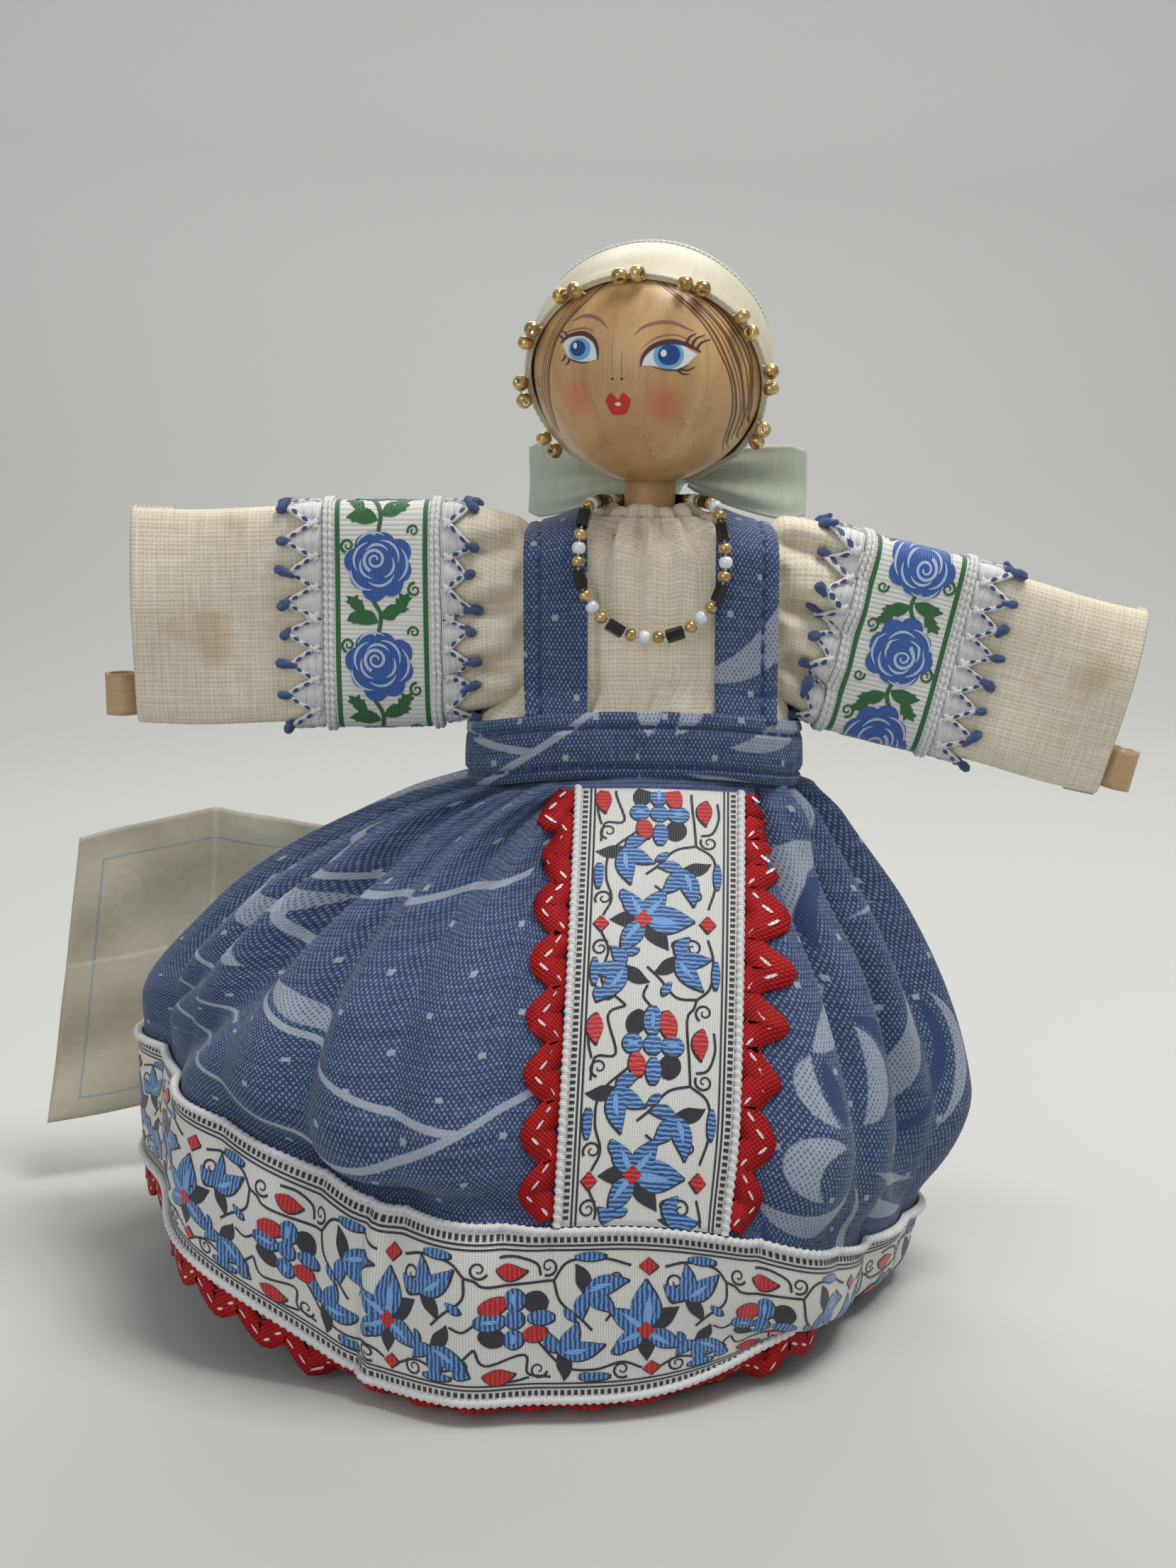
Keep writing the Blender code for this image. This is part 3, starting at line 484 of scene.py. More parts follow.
def curved_leaf(spot, first, last, outer, inner):
    """Leaf between two arcs over one chord, in mm of the repeat."""
    edges = []
    for sagitta, way in ((outer, 1), (inner, -1)):
        middle, radius, _ = arc_circle(first, last, sagitta)
        side = way if sagitta > 0 else -way
        edges.append((radius - distance(spot, middle)) * side)
    return edges[0].least(edges[1]).rise(0.0, 0.35)


def woven_line(spot, first, last, sagitta):
    middle, radius, length = arc_circle(first, last, sagitta)
    half = (*((np.asarray(first) + np.asarray(last)) / 2), 0.0)
    reach = math.hypot(length / 2, sagitta * 0.7)
    on_circle = 1 - abs(distance(spot, middle) - radius).rise(0.5, 0.75)
    return on_circle * (1 - distance(spot, half).rise(reach, reach + 0.5))


def topmost(fields):
    """The greatest of several fields."""
    whole = fields[0]
    for more in fields[1:]:
        whole = whole.most(more)
    return whole


def damask_paint(start):
    place, u, v = flat_place(start)
    x = ((u / (195 * MM) + 0.5).fract() - 0.5) * 195
    y = (v / (96 * MM)).fract() * 96
    spot = start.make("ShaderNodeCombineXYZ", {}, {0: x, 1: y})
    pale_leaves = (((53.6, 36.1), (52.1, 52.0), 6, 1), ((48.7, 40.2), (48.0, 52.3), 2.5, -2.5),
                   ((52.1, 30.2), (38.8, 39.5), 3, -3), ((38.8, 39.5), (41.8, 51.0), -1, -4.5),
                   ((66.8, 11.4), (51.5, 28.1), -6, -12), ((79.0, 28.4), (60.8, 53.4), 11, 5),
                   ((88.0, 34.3), (84.0, 56.9), 6, 3), ((42.8, 54.1), (40.3, 62.4), -3, -8),
                   ((46.5, 57.5), (31.6, 64.5), 9, 4), ((50.2, 58.9), (36.3, 73.5), 11, 8.5),
                   ((53.0, 57.9), (83.4, 62.7), 1.2, -1), ((57.7, 61.7), (81.2, 68.9), 1.5, -3),
                   ((71.0, 21.8), (89.6, 20.5), 3, 1.6), ((76.0, 1.0), (62.3, 9.0), 4, -4),
                   ((-84, 19), (-60, 34), 3, -3), ((-74, 18), (-54, 21), 2, -3),
                   ((-48, 33), (-34, 44), 3, -1.5))
    leaves = topmost([curved_leaf(spot, *facts) for facts in pale_leaves])
    veins = (((-70, 5), (-12, 54), -10), ((-87, 45), (0, 46.5), -16), ((-80, 8), (-11, 14.6), -7),
             ((-91, 20), (-56, 47.5), -7))
    strands = topmost([woven_line(spot, *facts) for facts in veins])
    dark_leaves = (((52.7, 35.0), (61.7, 47.8), 6, 2), ((40.3, 39.9), (43.1, 51.3), 1.5, -2),
                   ((62.0, 14.2), (53.3, 26.0), -2.5, -6), ((33.8, 67.9), (42.8, 77.0), -2, -5),
                   ((82.0, 30.0), (67.0, 54.0), 14, 11.5))
    shadows = topmost([curved_leaf(spot, *facts) for facts in dark_leaves])
    row = (v / (6.5 * MM)).floor()
    across = ((u / (13 * MM) + row * 0.37).fract() - 0.5) * 13
    bud = 1 - abs(across).most(abs(((v / (6.5 * MM)).fract() - 0.5) * 6.5)).rise(0.40, 0.55)
    strands = strands.most(bud * (1 - leaves))
    a, b = u / (0.68 * MM), v / (1.24 * MM)
    thread = noise(start, place, 1300, 2.0)
    grid = abs(((a + b) * math.pi).sin() * ((a - b) * math.pi).sin())
    dot = (grid + (thread - 0.5) * 1.2).rise(0.42, 0.90)
    streak = streaks(start, place, (60, 1400, 1))
    deep = streak.rise(0.3, 0.7).tint((0.016, 0.037, 0.112), (0.034, 0.068, 0.180))
    ground = (dot * (0.25 + 0.6 * streak)).tint(deep, (0.42, 0.47, 0.58))
    ground = (shadows * (1 - leaves) * 0.9).tint(ground, (0.020, 0.046, 0.150))
    figure = (dot * 0.75).tint((0.42, 0.46, 0.54), (0.050, 0.085, 0.20))
    colour = (leaves * 0.92).tint(ground, figure)
    colour = (strands * (0.6 + 0.4 * thread)).tint(colour, (0.46, 0.50, 0.58))
    shade = noise(start, place, 30, 3.0).rise(0.3, 0.75)
    colour = (shade * 0.25).tint(colour, (0.020, 0.044, 0.125))
    return colour, dot + leaves * 0.6 + strands, 0.06 * MM, {"Sheen Weight": 0.1}


damask = finish("blue_damask", 0.85, damask_paint)
print("damask nodes:", len(damask.node_tree.nodes))

# %% [markdown]
# Satin is smooth with long floats that catch the light along one direction. A fine stretched noise stands
# for the floats, and a low roughness with a little sheen gives the soft shine.

# %% Satin, thread and ribbon finishes


def satin_paint(dark, bright, cool):
    """Satin ribbon: long floats in one direction, with a slow change of tone."""
    def paint(start):
        place = flat_place(start)[0]
        floats = streaks(start, place, (2500, 160, 1))
        cloud = noise(start, place, 60, 2.0)
        colour = floats.tint(dark, bright)
        colour = (cloud.rise(0.4, 0.7) * 0.35).tint(colour, cool)
        gloss = floats.rise(0.2, 0.8) * 0.15 + 0.32
        return colour, floats, 0.03 * MM, {"Sheen Weight": 0.1, "Roughness": gloss}
    return paint


def ribbed_paint(pitch):
    """White ribbon with cross ribs, painted darker in the grooves between them as painted shade."""
    def paint(start):
        place, u, v = flat_place(start)
        rib = abs((u * (math.pi / pitch)).sin())
        cross = abs((v * (math.pi / (0.36 * MM))).sin())
        soil = noise(start, place, 90, 3.0).rise(0.45, 0.75)
        # Painted shade: the grooves between the ribs are painted grey and the rib tops lighter.
        colour = rib.rise(0.0, 0.6).tint((0.50, 0.50, 0.47), (0.75, 0.75, 0.71))
        colour = (soil * 0.25).tint(colour, (0.68, 0.66, 0.58))
        return colour, rib + cross * 0.4, 0.06 * MM, {"Sheen Weight": 0.15}
    return paint


def thread_paint(dark, bright, gloss):
    """Embroidery thread: fine ridges across the stitch, painted light on each crest and dark in each groove
    as painted light and shade, with a random change of tone.
    """
    def paint(start):
        place, _, v = flat_place(start)
        waver = noise(start, place, 1200, 2.0)
        floats = abs((v * (math.pi / (0.36 * MM)) + waver * 2).sin())
        # Painted light and shade: each fine ridge of the thread is painted lighter and each groove darker.
        colour = (floats * (0.5 + 0.5 * waver)).tint(dark, bright)
        return colour, floats, 0.06 * MM, {"Sheen Weight": gloss}
    return paint


def woven_paint(dark, bright):
    """Pattern threads that run across a woven ribbon, painted light on each thread's crest and dark between
    threads, as painted light and shade.
    """
    def paint(start):
        place, u, _ = flat_place(start)
        waver = noise(start, place, 900, 2.0)
        stripe = ((u * (TURN / (0.72 * MM)) + waver * 5).sin() * 0.5 + 0.5).rise(0.3, 0.8)
        fine = abs((u * (math.pi / (0.24 * MM))).sin())
        # Painted light and shade: the threads' crests are painted light, the gaps between them dark, and the
        # fine grooves darker still.
        colour = (stripe * (0.6 + 0.4 * fine)).tint(dark, bright)
        return colour, stripe + fine * 0.5, 0.06 * MM, {"Sheen Weight": 0.3}
    return paint


satin = finish("cream_satin", 0.38, satin_paint((0.58, 0.53, 0.38), (0.71, 0.65, 0.49), (0.61, 0.59, 0.46)))
# The bow is tied from the scarf's cream satin; its own copy of that satin is mint-tinted and painted darker,
# and the darkness is painted shade at the nape.
bow_satin_painted_shade = finish("mint_satin_painted_shade", 0.38,
                   satin_paint((0.44, 0.49, 0.40), (0.62, 0.67, 0.57), (0.50, 0.57, 0.49)))
ribbon_white = finish("woven_white", 0.6, ribbed_paint(0.36 * MM))
rose_ribbon_white = finish("ribbed_white", 0.6, ribbed_paint(0.78 * MM))
thread_blue = finish("thread_blue", 0.45, woven_paint((0.012, 0.055, 0.22), (0.15, 0.38, 0.74)))
thread_royal = finish("thread_royal", 0.45, thread_paint((0.008, 0.035, 0.20), (0.045, 0.17, 0.56), 0.3))
thread_pale = finish("thread_pale_blue", 0.45, thread_paint((0.08, 0.25, 0.62), (0.30, 0.54, 0.88), 0.3))
thread_red = finish("thread_red", 0.45, woven_paint((0.36, 0.004, 0.006), (0.74, 0.022, 0.02)))
thread_black = finish("thread_black", 0.5, thread_paint((0.006, 0.006, 0.012), (0.035, 0.035, 0.05), 0.2))
thread_green = finish("thread_green", 0.5, thread_paint((0.008, 0.06, 0.015), (0.04, 0.20, 0.06), 0.2))
thread_white = finish("thread_white", 0.7, thread_paint((0.60, 0.60, 0.60), (0.86, 0.86, 0.85), 0.2))
thread_veins = finish("thread_veins", 0.5, thread_paint((0.35, 0.45, 0.66), (0.62, 0.70, 0.84), 0.2))
thread_navy = finish("thread_navy", 0.6, thread_paint((0.015, 0.03, 0.12), (0.06, 0.10, 0.28), 0.2))
thread_silver = finish("thread_silver", 0.3, thread_paint((0.55, 0.50, 0.52), (0.92, 0.90, 0.92), 0.2))
print("satin, ribbon and thread finishes ready")

# %% [markdown]
# ## Skirt
# The skirt is a wide strip of damask gathered into the waistband. Small gathers fade out below the waist,
# and larger folds grow towards the hem, where a stiff ribbon holds the cloth. A cloth simulation would
# settle it differently on each machine, so the folds come from a formula. It starts from the CAD solid's
# main terms. The deeper folds are added, and so are the hem that is raised at one side and the ribbon that
# turns under at the other.

# %% The skirt's formula

WAIST_Z, HEM_Z = 90.5 * MM, 3.2 * MM
SKIRT_LENGTH = WAIST_Z - HEM_Z
RIBBON = 27 * MM
RIBBON_ROW = 1 - RIBBON / SKIRT_LENGTH


def front_line(v):
    return 1.4 * MM - 4.9 * MM * v


def bump(value, middle, width):
    return np.exp(-((value - middle) / width) ** 2)


def skirt_half_width(v):
    return 28.5 * MM + 41 * MM * (1 - np.clip(1 - v, 0, None) ** 3.9)


def skirt_centre(v):
    return -2.5 * MM - 14 * MM * (1 - np.clip(1 - v, 0, None) ** 7)


SKIRT_TOP = -0.012
SLUMP_Z = 14.2 * MM
TUCK_STEP = 0.1 * MM
tuck_way = np.arange(400) * TUCK_STEP
tuck_bend = np.radians(15 + 165 * np.clip((tuck_way - 9.5 * MM) / (9 * MM), 0, 1))
tuck_drop = np.cumsum(np.cos(tuck_bend)) * TUCK_STEP
tuck_inward = np.cumsum(np.sin(tuck_bend)) * TUCK_STEP


def tucked_under(v):
    """Way down and way in along a ribbon that turns under the skirt and up again inside it."""
    length = np.clip(v - RIBBON_ROW, 0, None) * SKIRT_LENGTH
    return np.interp(length, tuck_way, tuck_drop), np.interp(length, tuck_way, tuck_inward)


def ridges(phase):
    """Round folds with sharp valleys between them, about zero."""
    return 2 * (np.sqrt(np.cos(phase / 2) ** 2 + 0.004) - 0.65)


def skirt(angle, v):
    """Outside of the skirt: v is SKIRT_TOP inside the waistband, 0 at its lower edge and 1 at the hem."""
    across, ahead = np.sin(angle), np.cos(angle)
    turn = np.degrees(np.remainder(angle + np.pi, TURN) - np.pi)
    fall = np.clip(1 - v, 0, None)
    hem_depth = np.where(ahead > 0, 62 * MM, 58 * MM)
    half_depth = 17.5 * MM + (hem_depth - 17.5 * MM) * (1 - fall ** 2.6)
    slump = ease(0.12, 1.1, across)
    drop, under = tucked_under(v)
    drawn_in = 0.125 * ease(0.50, 0.70, v) * np.clip(across, 0, None) ** 1.4
    x = skirt_centre(v) + skirt_half_width(v) * across * (1 - drawn_in) - slump * under * across
    y = -half_depth * ahead + slump * under * ahead
    beside = np.abs(x - front_line(v))
    away = np.where(ahead > 0, ease(13.5 * MM, 27.5 * MM, beside), 1)
    close = np.where(ahead > 0, ease(14 * MM, 19 * MM, beside), 1)
    sway = 25 * angle + 0.7 + 1.1 * np.sin(3 * angle) + 1.5 * v * np.sign(across)
    gather = 2.0 * fall ** 1.4 * np.cos(12 * angle) * ease(SKIRT_TOP, 0, v)
    pucker = (4.0 * fall ** 1.4 * ridges(sway) + 1.0 * fall ** 4 * ridges(51 * angle)) * ease(-0.02, 0.05, v)
    fold = 2.5 * ease(0, 0.6, v) * np.cos(8 * angle + 0.9)
    crease = 2.2 * bump(turn, -42, 34) * bump(v, RIBBON_ROW, 0.09)
    above_ribbon = bump(v, RIBBON_ROW - 0.03, 0.04)
    tuck = 3.4 * bump(turn, -22, 20) * above_ribbon + 1.6 * bump(turn, 42, 20) * above_ribbon
    hold = ease(0.02, 0.2, v) * (1 - ease(0.52, RIBBON_ROW - 0.01, v))
    left_width, right_width = np.where(turn < -22, 22, 13), np.where(turn < 36, 12, 20)
    drape = 6.8 * bump(turn, -22, left_width) * ease(0.1, 0.36, v)
    drape = drape + 3.4 * bump(turn, 36, right_width) * ease(0.08, 0.3, v)
    for middle, slant, width, depth in ((-64, -26, 8, 2.8), (-42, -30, 5, -7.4), (-30, -10, 3, -3.4),
                                        (-56, -40, 4, -4.6), (56, 24, 5, -6.0), (80, 14, 8, 2.2),
                                        (44, 6, 3, -2.2), (150, 10, 9, 2.0), (-130, -12, 9, 2.0),
                                        (-100, -10, 6, -2.6)):
        drape = drape + depth * bump(turn, middle + slant * v, width)
    pleat = (turn + 24 + 4 * (v - 0.85)) / 1.6
    step = 1.5 * pleat * np.exp(-pleat ** 2) * ease(0.62, 0.74, v)
    out = (away * (gather + fold - crease) + close * (pucker + drape * hold - tuck) + step) * MM
    top = WAIST_Z - 0.3 * MM - 3.4 * MM * across ** 2
    level = top + (HEM_Z - top) * v
    raised_hem = (14 * ease(0.25, 0.72, v) + 3 * ease(0.72, 1, v)) * MM * ease(0.34, 0.95, -across)
    slumped = np.where(v < RIBBON_ROW, top + (SLUMP_Z - top) * v / RIBBON_ROW, SLUMP_Z - drop)
    sag = (3.4 * bump(turn, -25, 18) * bump(v, 0.585, 0.055) * close
           + 3.5 * bump(turn, 72, 30) * bump(v, 0.6, 0.07)) * MM
    z = level + slump * (slumped - level) + raised_hem - sag
    return np.stack([x + out * across, y - out * ahead, z], axis=-1)


rows = np.concatenate([np.linspace(SKIRT_TOP, 0, 4)[:-1], np.linspace(0, 0.12, 14)[:-1],
                       np.linspace(0.12, 1, 76)])
gathered_skirt = cloth("gathered_skirt", skirt, around(480) - np.pi, rows, (62 * MM, 104 * MM), damask,
                       thickness=0.7 * MM, wrap=True)
wear(gathered_skirt, "stand", "skirt", slot="blue_damask")
print("skirt faces:", len(gathered_skirt.data.polygons))

# %% [markdown]
# ## Woven ribbons on the skirt
# A white jacquard ribbon runs down the front and round the hem, with an overcast white cord along each edge.
# Its ornament is a folk vine with flowers, drawn once for one repeat and laid along both ribbons.

# %% Places on the two ribbons

hem_turn = np.linspace(-np.pi, np.pi, 3001)
hem_arc = arc_table(skirt(hem_turn, np.full(3001, (1 + RIBBON_ROW) / 2)))
HEM_GIRTH = hem_arc[-1]


def on_hem(s, t, lift):
    """Hem ribbon: s runs along it from the back, t across it from its middle, downwards."""
    angle = np.interp(np.mod(s, HEM_GIRTH), hem_arc, hem_turn)
    v = RIBBON_ROW + (t + RIBBON / 2) / RIBBON * (1 - RIBBON_ROW)
    return raised(skirt, angle, v, lift)


def front_skin(offset, v):
    share = np.clip((front_line(v) + offset - skirt_centre(v)) / skirt_half_width(v), -1, 1)
    return skirt(np.arcsin(share), v)


FRONT_TOP = 0.017
front_v = np.linspace(FRONT_TOP, RIBBON_ROW - 0.003, 1001)
front_arc = arc_table(front_skin(np.zeros(1001), front_v))
FRONT_LENGTH = front_arc[-1]


def on_front(s, t, lift):
    """Front ribbon: s runs down it, t across it."""
    v = np.interp(s, front_arc, front_v)
    return raised(front_skin, t, v, lift)


def on_front_down(s, t, lift):
    """The same place with t turned, so that strokes look outwards."""
    return on_front(s, -t, lift)


print("hem girth and front length, mm:", round(HEM_GIRTH / MM, 1), round(FRONT_LENGTH / MM, 1))

# %% Ribbon bands and their cords

BAND_LIFT = 0.95 * MM
hem_rows = np.linspace(RIBBON_ROW, 1, 32)
hem_band = cloth("hem_band", skirt, around(400), hem_rows, (62 * MM, 87 * MM), ribbon_white, BAND_LIFT,
                 0.5 * MM, True)
wear(hem_band, "stand", "hem_ribbon", slot="woven_ribbon")
front_band = cloth("front_band", front_skin, np.linspace(-RIBBON / 2, RIBBON / 2, 15),
                   np.linspace(FRONT_TOP, 0.688, 60), (1.0, 104 * MM), ribbon_white, BAND_LIFT, 0.5 * MM)
wear(front_band, "stand", "front_ribbon", slot="woven_ribbon")

hem_run = np.linspace(0, HEM_GIRTH, 1500, endpoint=False)
front_run = np.linspace(0, FRONT_LENGTH, 330)
edge = RIBBON / 2 - 0.5 * MM
cord_paths = [on_hem(hem_run, np.full(1500, side * edge), BAND_LIFT + 0.25 * MM) for side in (-1, 1)]
tubes("hem_edge_cords", cord_paths, 0.62 * MM, thread_white, "stand", ripple=0.22, closed=True)
cord_paths = [on_front(front_run, np.full(330, side * edge), BAND_LIFT + 0.25 * MM) for side in (-1, 1)]
tubes("front_edge_cords", cord_paths, 0.62 * MM, thread_white, "stand", ripple=0.22)
print("ribbon bands ready")

# %% One repeat of the woven vine

REPEAT = 40.0 * MM
FULLER = 1.16


def oval(s, t, long, wide, degrees=0.0):
    """Rounded petal about its middle, in mm."""
    way, long, wide = math.radians(degrees), long * FULLER, wide * FULLER
    base = ((s - long / 2 * math.cos(way)) * MM, (t - long / 2 * math.sin(way)) * MM)
    path, _ = leaf(base, way, long * MM, wide * MM)
    swell = np.sin(np.pi * np.linspace(0.03, 0.97, len(path))) ** 0.55
    return path, wide / 2 * MM * swell


def blade(s, t, degrees, long, wide, bend=0.0):
    """Pointed petal from its foot, in mm."""
    return leaf((s * MM, t * MM), math.radians(degrees), long * MM, wide * MM, bend)


def sprig(s, t, degrees, side):
    """Spray of leaves from one foot: two blue ones, a short one and a dark one that curls away."""
    blue = [blade(s, t, degrees, 6.8, 3.0, 0.5 * side),
            blade(s, t, degrees + 46 * side, 5.4, 2.6, 0.7 * side),
            blade(s, t, degrees + 140 * side, 3.8, 2.1, -0.6 * side)]
    pale = [blade(s + 0.8 * math.cos(math.radians(degrees)), t + 0.8 * math.sin(math.radians(degrees)),
                  degrees, 3.8, 0.8, 0.5 * side)]
    dark = [blade(s, t, degrees - 52 * side, 5.0, 2.4, -0.9 * side)]
    return blue, pale, dark


def vine_repeat():
    """Strokes of one repeat by colour, with s along the ribbon and t across it, in metres."""
    blue, pale, red, black = [], [], [], []
    blue += [oval(6, 0, 2.5, 2.5), oval(6.1, -3.0, 2.6, 3.0), oval(5.8, 3.1, 2.6, 2.6),
             oval(2.2, 0.2, 3.8, 2.4), oval(10.0, -0.2, 3.4, 2.0)]
    black += [oval(2.6, 2.7, 3.6, 2.7, 20), oval(9.3, -2.6, 3.4, 3.0, 15)]
    red += [oval(2.8, -2.2, 3.7, 2.3, -12), oval(9.1, 2.3, 3.2, 2.2, -10)]
    red += [leaf((3.2 * MM, -7.6 * MM), 0.35, 4.8 * MM, 2.5 * MM, -0.7),
            leaf((1.2 * MM, 8.6 * MM), 0.25, 4.8 * MM, 2.5 * MM, -0.6)]
    for s, t, degrees, side in ((12.6, 5.2, 5, -1), (16.4, -3.6, -30, 1), (31.6, -3.2, -25, -1),
                                (33.4, 4.8, 20, 1)):
        leaves, veins, curls = sprig(s, t, degrees, side)
        blue += leaves
        pale += veins
        black += curls
    heart = (25.6, 2.2)
    for degrees, long, wide in ((-90, 7.8, 4.8), (-148, 6.4, 3.2), (148, 6.0, 3.0), (30, 6.4, 3.2)):
        blue.append(blade(*heart, degrees, long, wide))
        pale.append(blade(*heart, degrees + 6, long * 0.75, wide * 0.28))
    black += [blade(*heart, -38, 6.6, 3.2), blade(*heart, 88, 5.2, 2.8)]
    pale += [oval(6, -3.0, 0.6, 1.7), oval(2.2, 0.2, 2.2, 0.5), oval(5.8, 3.1, 0.6, 1.4)]
    red += [diamond((25.6 * MM, 2.2 * MM), 1.5 * MM, 1.5 * MM),
            diamond((26.0 * MM, -7.9 * MM), 1.4 * MM, 1.3 * MM),
            diamond((26.4 * MM, 8.6 * MM), 1.3 * MM, 1.2 * MM)]
    blue += [oval(17.4, -9.3, 3.8, 1.1), oval(17.9, 9.3, 3.8, 1.1), oval(34.4, -9.3, 3.8, 1.1),
             oval(34.4, 9.3, 3.8, 1.1)]
    stems = [[(0, 4.4), (1.6, 7.0), (7.5, 5.6), (8.0, 8.6), (11.5, 9.2)],
             [(0, -6.0), (2.0, -5.0), (9.0, -5.6), (12.0, -5.8)],
             [(12.0, -5.8), (13.0, -2.5), (16.0, 0.2), (17.6, 2.0)],
             [(12.0, -5.8), (14.2, -8.6), (19.0, -9.0), (23.4, -7.9)],
             [(9.6, 3.6), (13.5, 7.6), (18.0, 8.2), (22.0, 7.2), (25.0, 8.4)],
             [(28.6, -7.9), (32.0, -8.8), (36.5, -8.4), (38.6, -6.4)],
             [(38.6, -6.4), (38.4, -3.2), (35.5, -0.6), (33.6, 1.4)], [(38.6, -6.4), (40.0, -6.0)],
             [(27.8, 8.6), (31.0, 7.4), (36.0, 8.2), (40.0, 4.4)]]
    stems += [[(3.6, -9.2), (6.6, -9.4), (9.4, -8.4), (10.0, -6.6)], [(2.0, 9.6), (5.4, 9.8), (8.2, 9.2)],
              [(19.6, 0.6), (21.0, -1.0), (22.6, -0.6)], [(28.6, -4.4), (29.6, -2.4), (31.6, -3.2)],
              [(36.6, 1.2), (38.4, 1.8), (40.0, 0.6)], [(10.6, 1.6), (12.0, 3.2), (12.6, 5.2)]]
    for points in stems:
        black.append(line(np.array(points) * MM, 0.40 * MM))
    for s, t, degrees in ((13.4, -1.4, 40), (20.4, 5.6, -20), (38.2, -1.2, 200), (30.6, 2.6, 60),
                          (15.6, 9.0, 10), (36.8, 8.8, -10)):
        blue.append(blade(s, t, degrees, 2.6, 1.3, 0.4))
    for s, t, begin, turns in ((0.6, -7.6, 0.5, 1.3), (11.2, -7.9, 2.0, -1.3), (9.6, 8.0, 0.2, 1.2),
                               (21.0, -6.0, 3.0, -1.2), (22.0, 8.4, 1.0, 1.3), (30.6, 8.6, 4.0, -1.3),
                               (30.2, -5.6, 2.2, 1.2), (38.0, 7.4, 3.6, 1.2)):
        black.append(curl((s * MM, t * MM), 1.45 * MM, begin, turns, 0.42 * MM))
    edging = []
    for path, half in blue + red:
        middle = path.mean(axis=0)
        edging.append((middle + (path - middle) * 1.10 + np.array([0.12, 0.10]) * MM, half + 0.13 * MM))
    return {"black": black + edging, "blue": blue, "pale": pale, "red": red}


def border_lines(length):
    """Two fine dark lines and a row of rungs near each edge of a ribbon."""
    way = np.linspace(0, length, max(2, int(length / (1.2 * MM))))
    lines = []
    for side in (-1, 1):
        for offset in (10.3, 10.95):
            lines.append((np.stack([way, np.full(len(way), side * offset * MM)], axis=-1),
                          np.full(len(way), 0.15 * MM)))
        for s in np.arange(0.8 * MM, length - 0.8 * MM, 1.0 * MM):
            lines.append((np.array([[s, side * 11.4 * MM], [s, side * 11.8 * MM], [s, side * 12.2 * MM]]),
                          np.full(3, 0.28 * MM)))
    return lines


def clipped(lines, first, last):
    """Strokes cut to a stretch of ribbon."""
    kept = []
    for path, half in lines:
        inside = (path[:, 0] > first) & (path[:, 0] < last)
        if inside.sum() >= 3:
            kept.append((path[inside], half[inside]))
    return kept


vine = vine_repeat()
vine_finish = {"blue": thread_blue, "pale": thread_pale, "red": thread_red, "black": thread_black}
hem_repeats = round(HEM_GIRTH / REPEAT)
hem_stretch = HEM_GIRTH / (hem_repeats * REPEAT)
for rank, (colour, lines) in enumerate(vine.items()):
    lift = BAND_LIFT + (0.08 + 0.03 * rank) * MM
    spread, front_spread = [], []
    for number in range(hem_repeats):
        placed = moved(lines, (number * REPEAT, 0))
        spread += [(path * np.array([hem_stretch, 1]), half) for path, half in placed]
    for number in range(-1, 3):
        front_spread += moved(lines, (number * REPEAT - 1 * MM, 0))
    front_spread = clipped(front_spread, 0.4 * MM, FRONT_LENGTH - 0.4 * MM)
    if colour == "black":
        spread += border_lines(HEM_GIRTH)
        front_spread += border_lines(FRONT_LENGTH)
    strokes("hem_vine_" + colour, spread, on_hem, lift, vine_finish[colour], "stand")
    strokes("front_vine_" + colour, front_spread, on_front_down, lift, vine_finish[colour], "stand")
print("vine repeats round the hem:", hem_repeats)

# %% [markdown]
# ## Rickrack
# Rickrack is a flat braid woven in waves. One edge is caught under the ribbon, so scallops show beside it.
# It is one thick stroke with a swinging centre line, and its silver thread is a row of short strokes along
# each wave.

# %% Rickrack along the ribbons


def braid_paint(start):
    place, u, v = flat_place(start)
    plait = abs(((u + v) * (math.pi / (0.75 * MM))).sin()) * abs(((u - v) * (math.pi / (0.75 * MM))).sin())
    worn = noise(start, place, 300, 3.0)
    # Painted shade and light: the braid is painted dark red in the valleys of its plait and bright red on its
    # humps.
    colour = plait.rise(0.05, 0.8).tint((0.20, 0.002, 0.004), (0.60, 0.009, 0.010))
    colour = (worn.rise(0.55, 0.8) * 0.35).tint(colour, (0.70, 0.03, 0.025))
    return colour, plait, 0.10 * MM, {"Sheen Weight": 0.0, "Specular IOR Level": 0.25}


red_braid = finish("red_braid", 0.7, braid_paint)


def wave_braid(length, waves, middle, swing, half):
    """Centre line of a rickrack, and dashes of silver thread that follow its outer side."""
    way = np.linspace(0, length, waves * 16 + 1)
    phase = TURN * waves * way / length
    zigzag = np.arcsin(0.93 * np.cos(phase)) / math.asin(0.93)
    path = np.stack([way, middle - swing * zigzag], axis=-1)
    dashes = []
    for first in range(1, len(way) - 3, 4):
        piece = path[first:first + 3] + np.array([0, 0.30 * half + 0.12 * half * (-1) ** (first // 4)])
        dashes.append((piece, np.array([0.12, 0.2, 0.12]) * MM))
    return [(path, np.full(len(way), half))], dashes


def below_hem(angle, drop):
    """Hangs below the hem where that is high, and folds under it where it is near the floor."""
    edge_point = skirt(angle, np.ones_like(angle))
    top = edge_point[..., 2] - 0.5 * MM
    slope = np.clip((top - 1.4 * MM) / (5.6 * MM), 0.08, 1)
    under = drop * np.sqrt(1 - slope ** 2)
    return np.stack([edge_point[..., 0] - under * np.sin(angle), edge_point[..., 1] + under * np.cos(angle),
                     top - drop * slope], axis=-1)


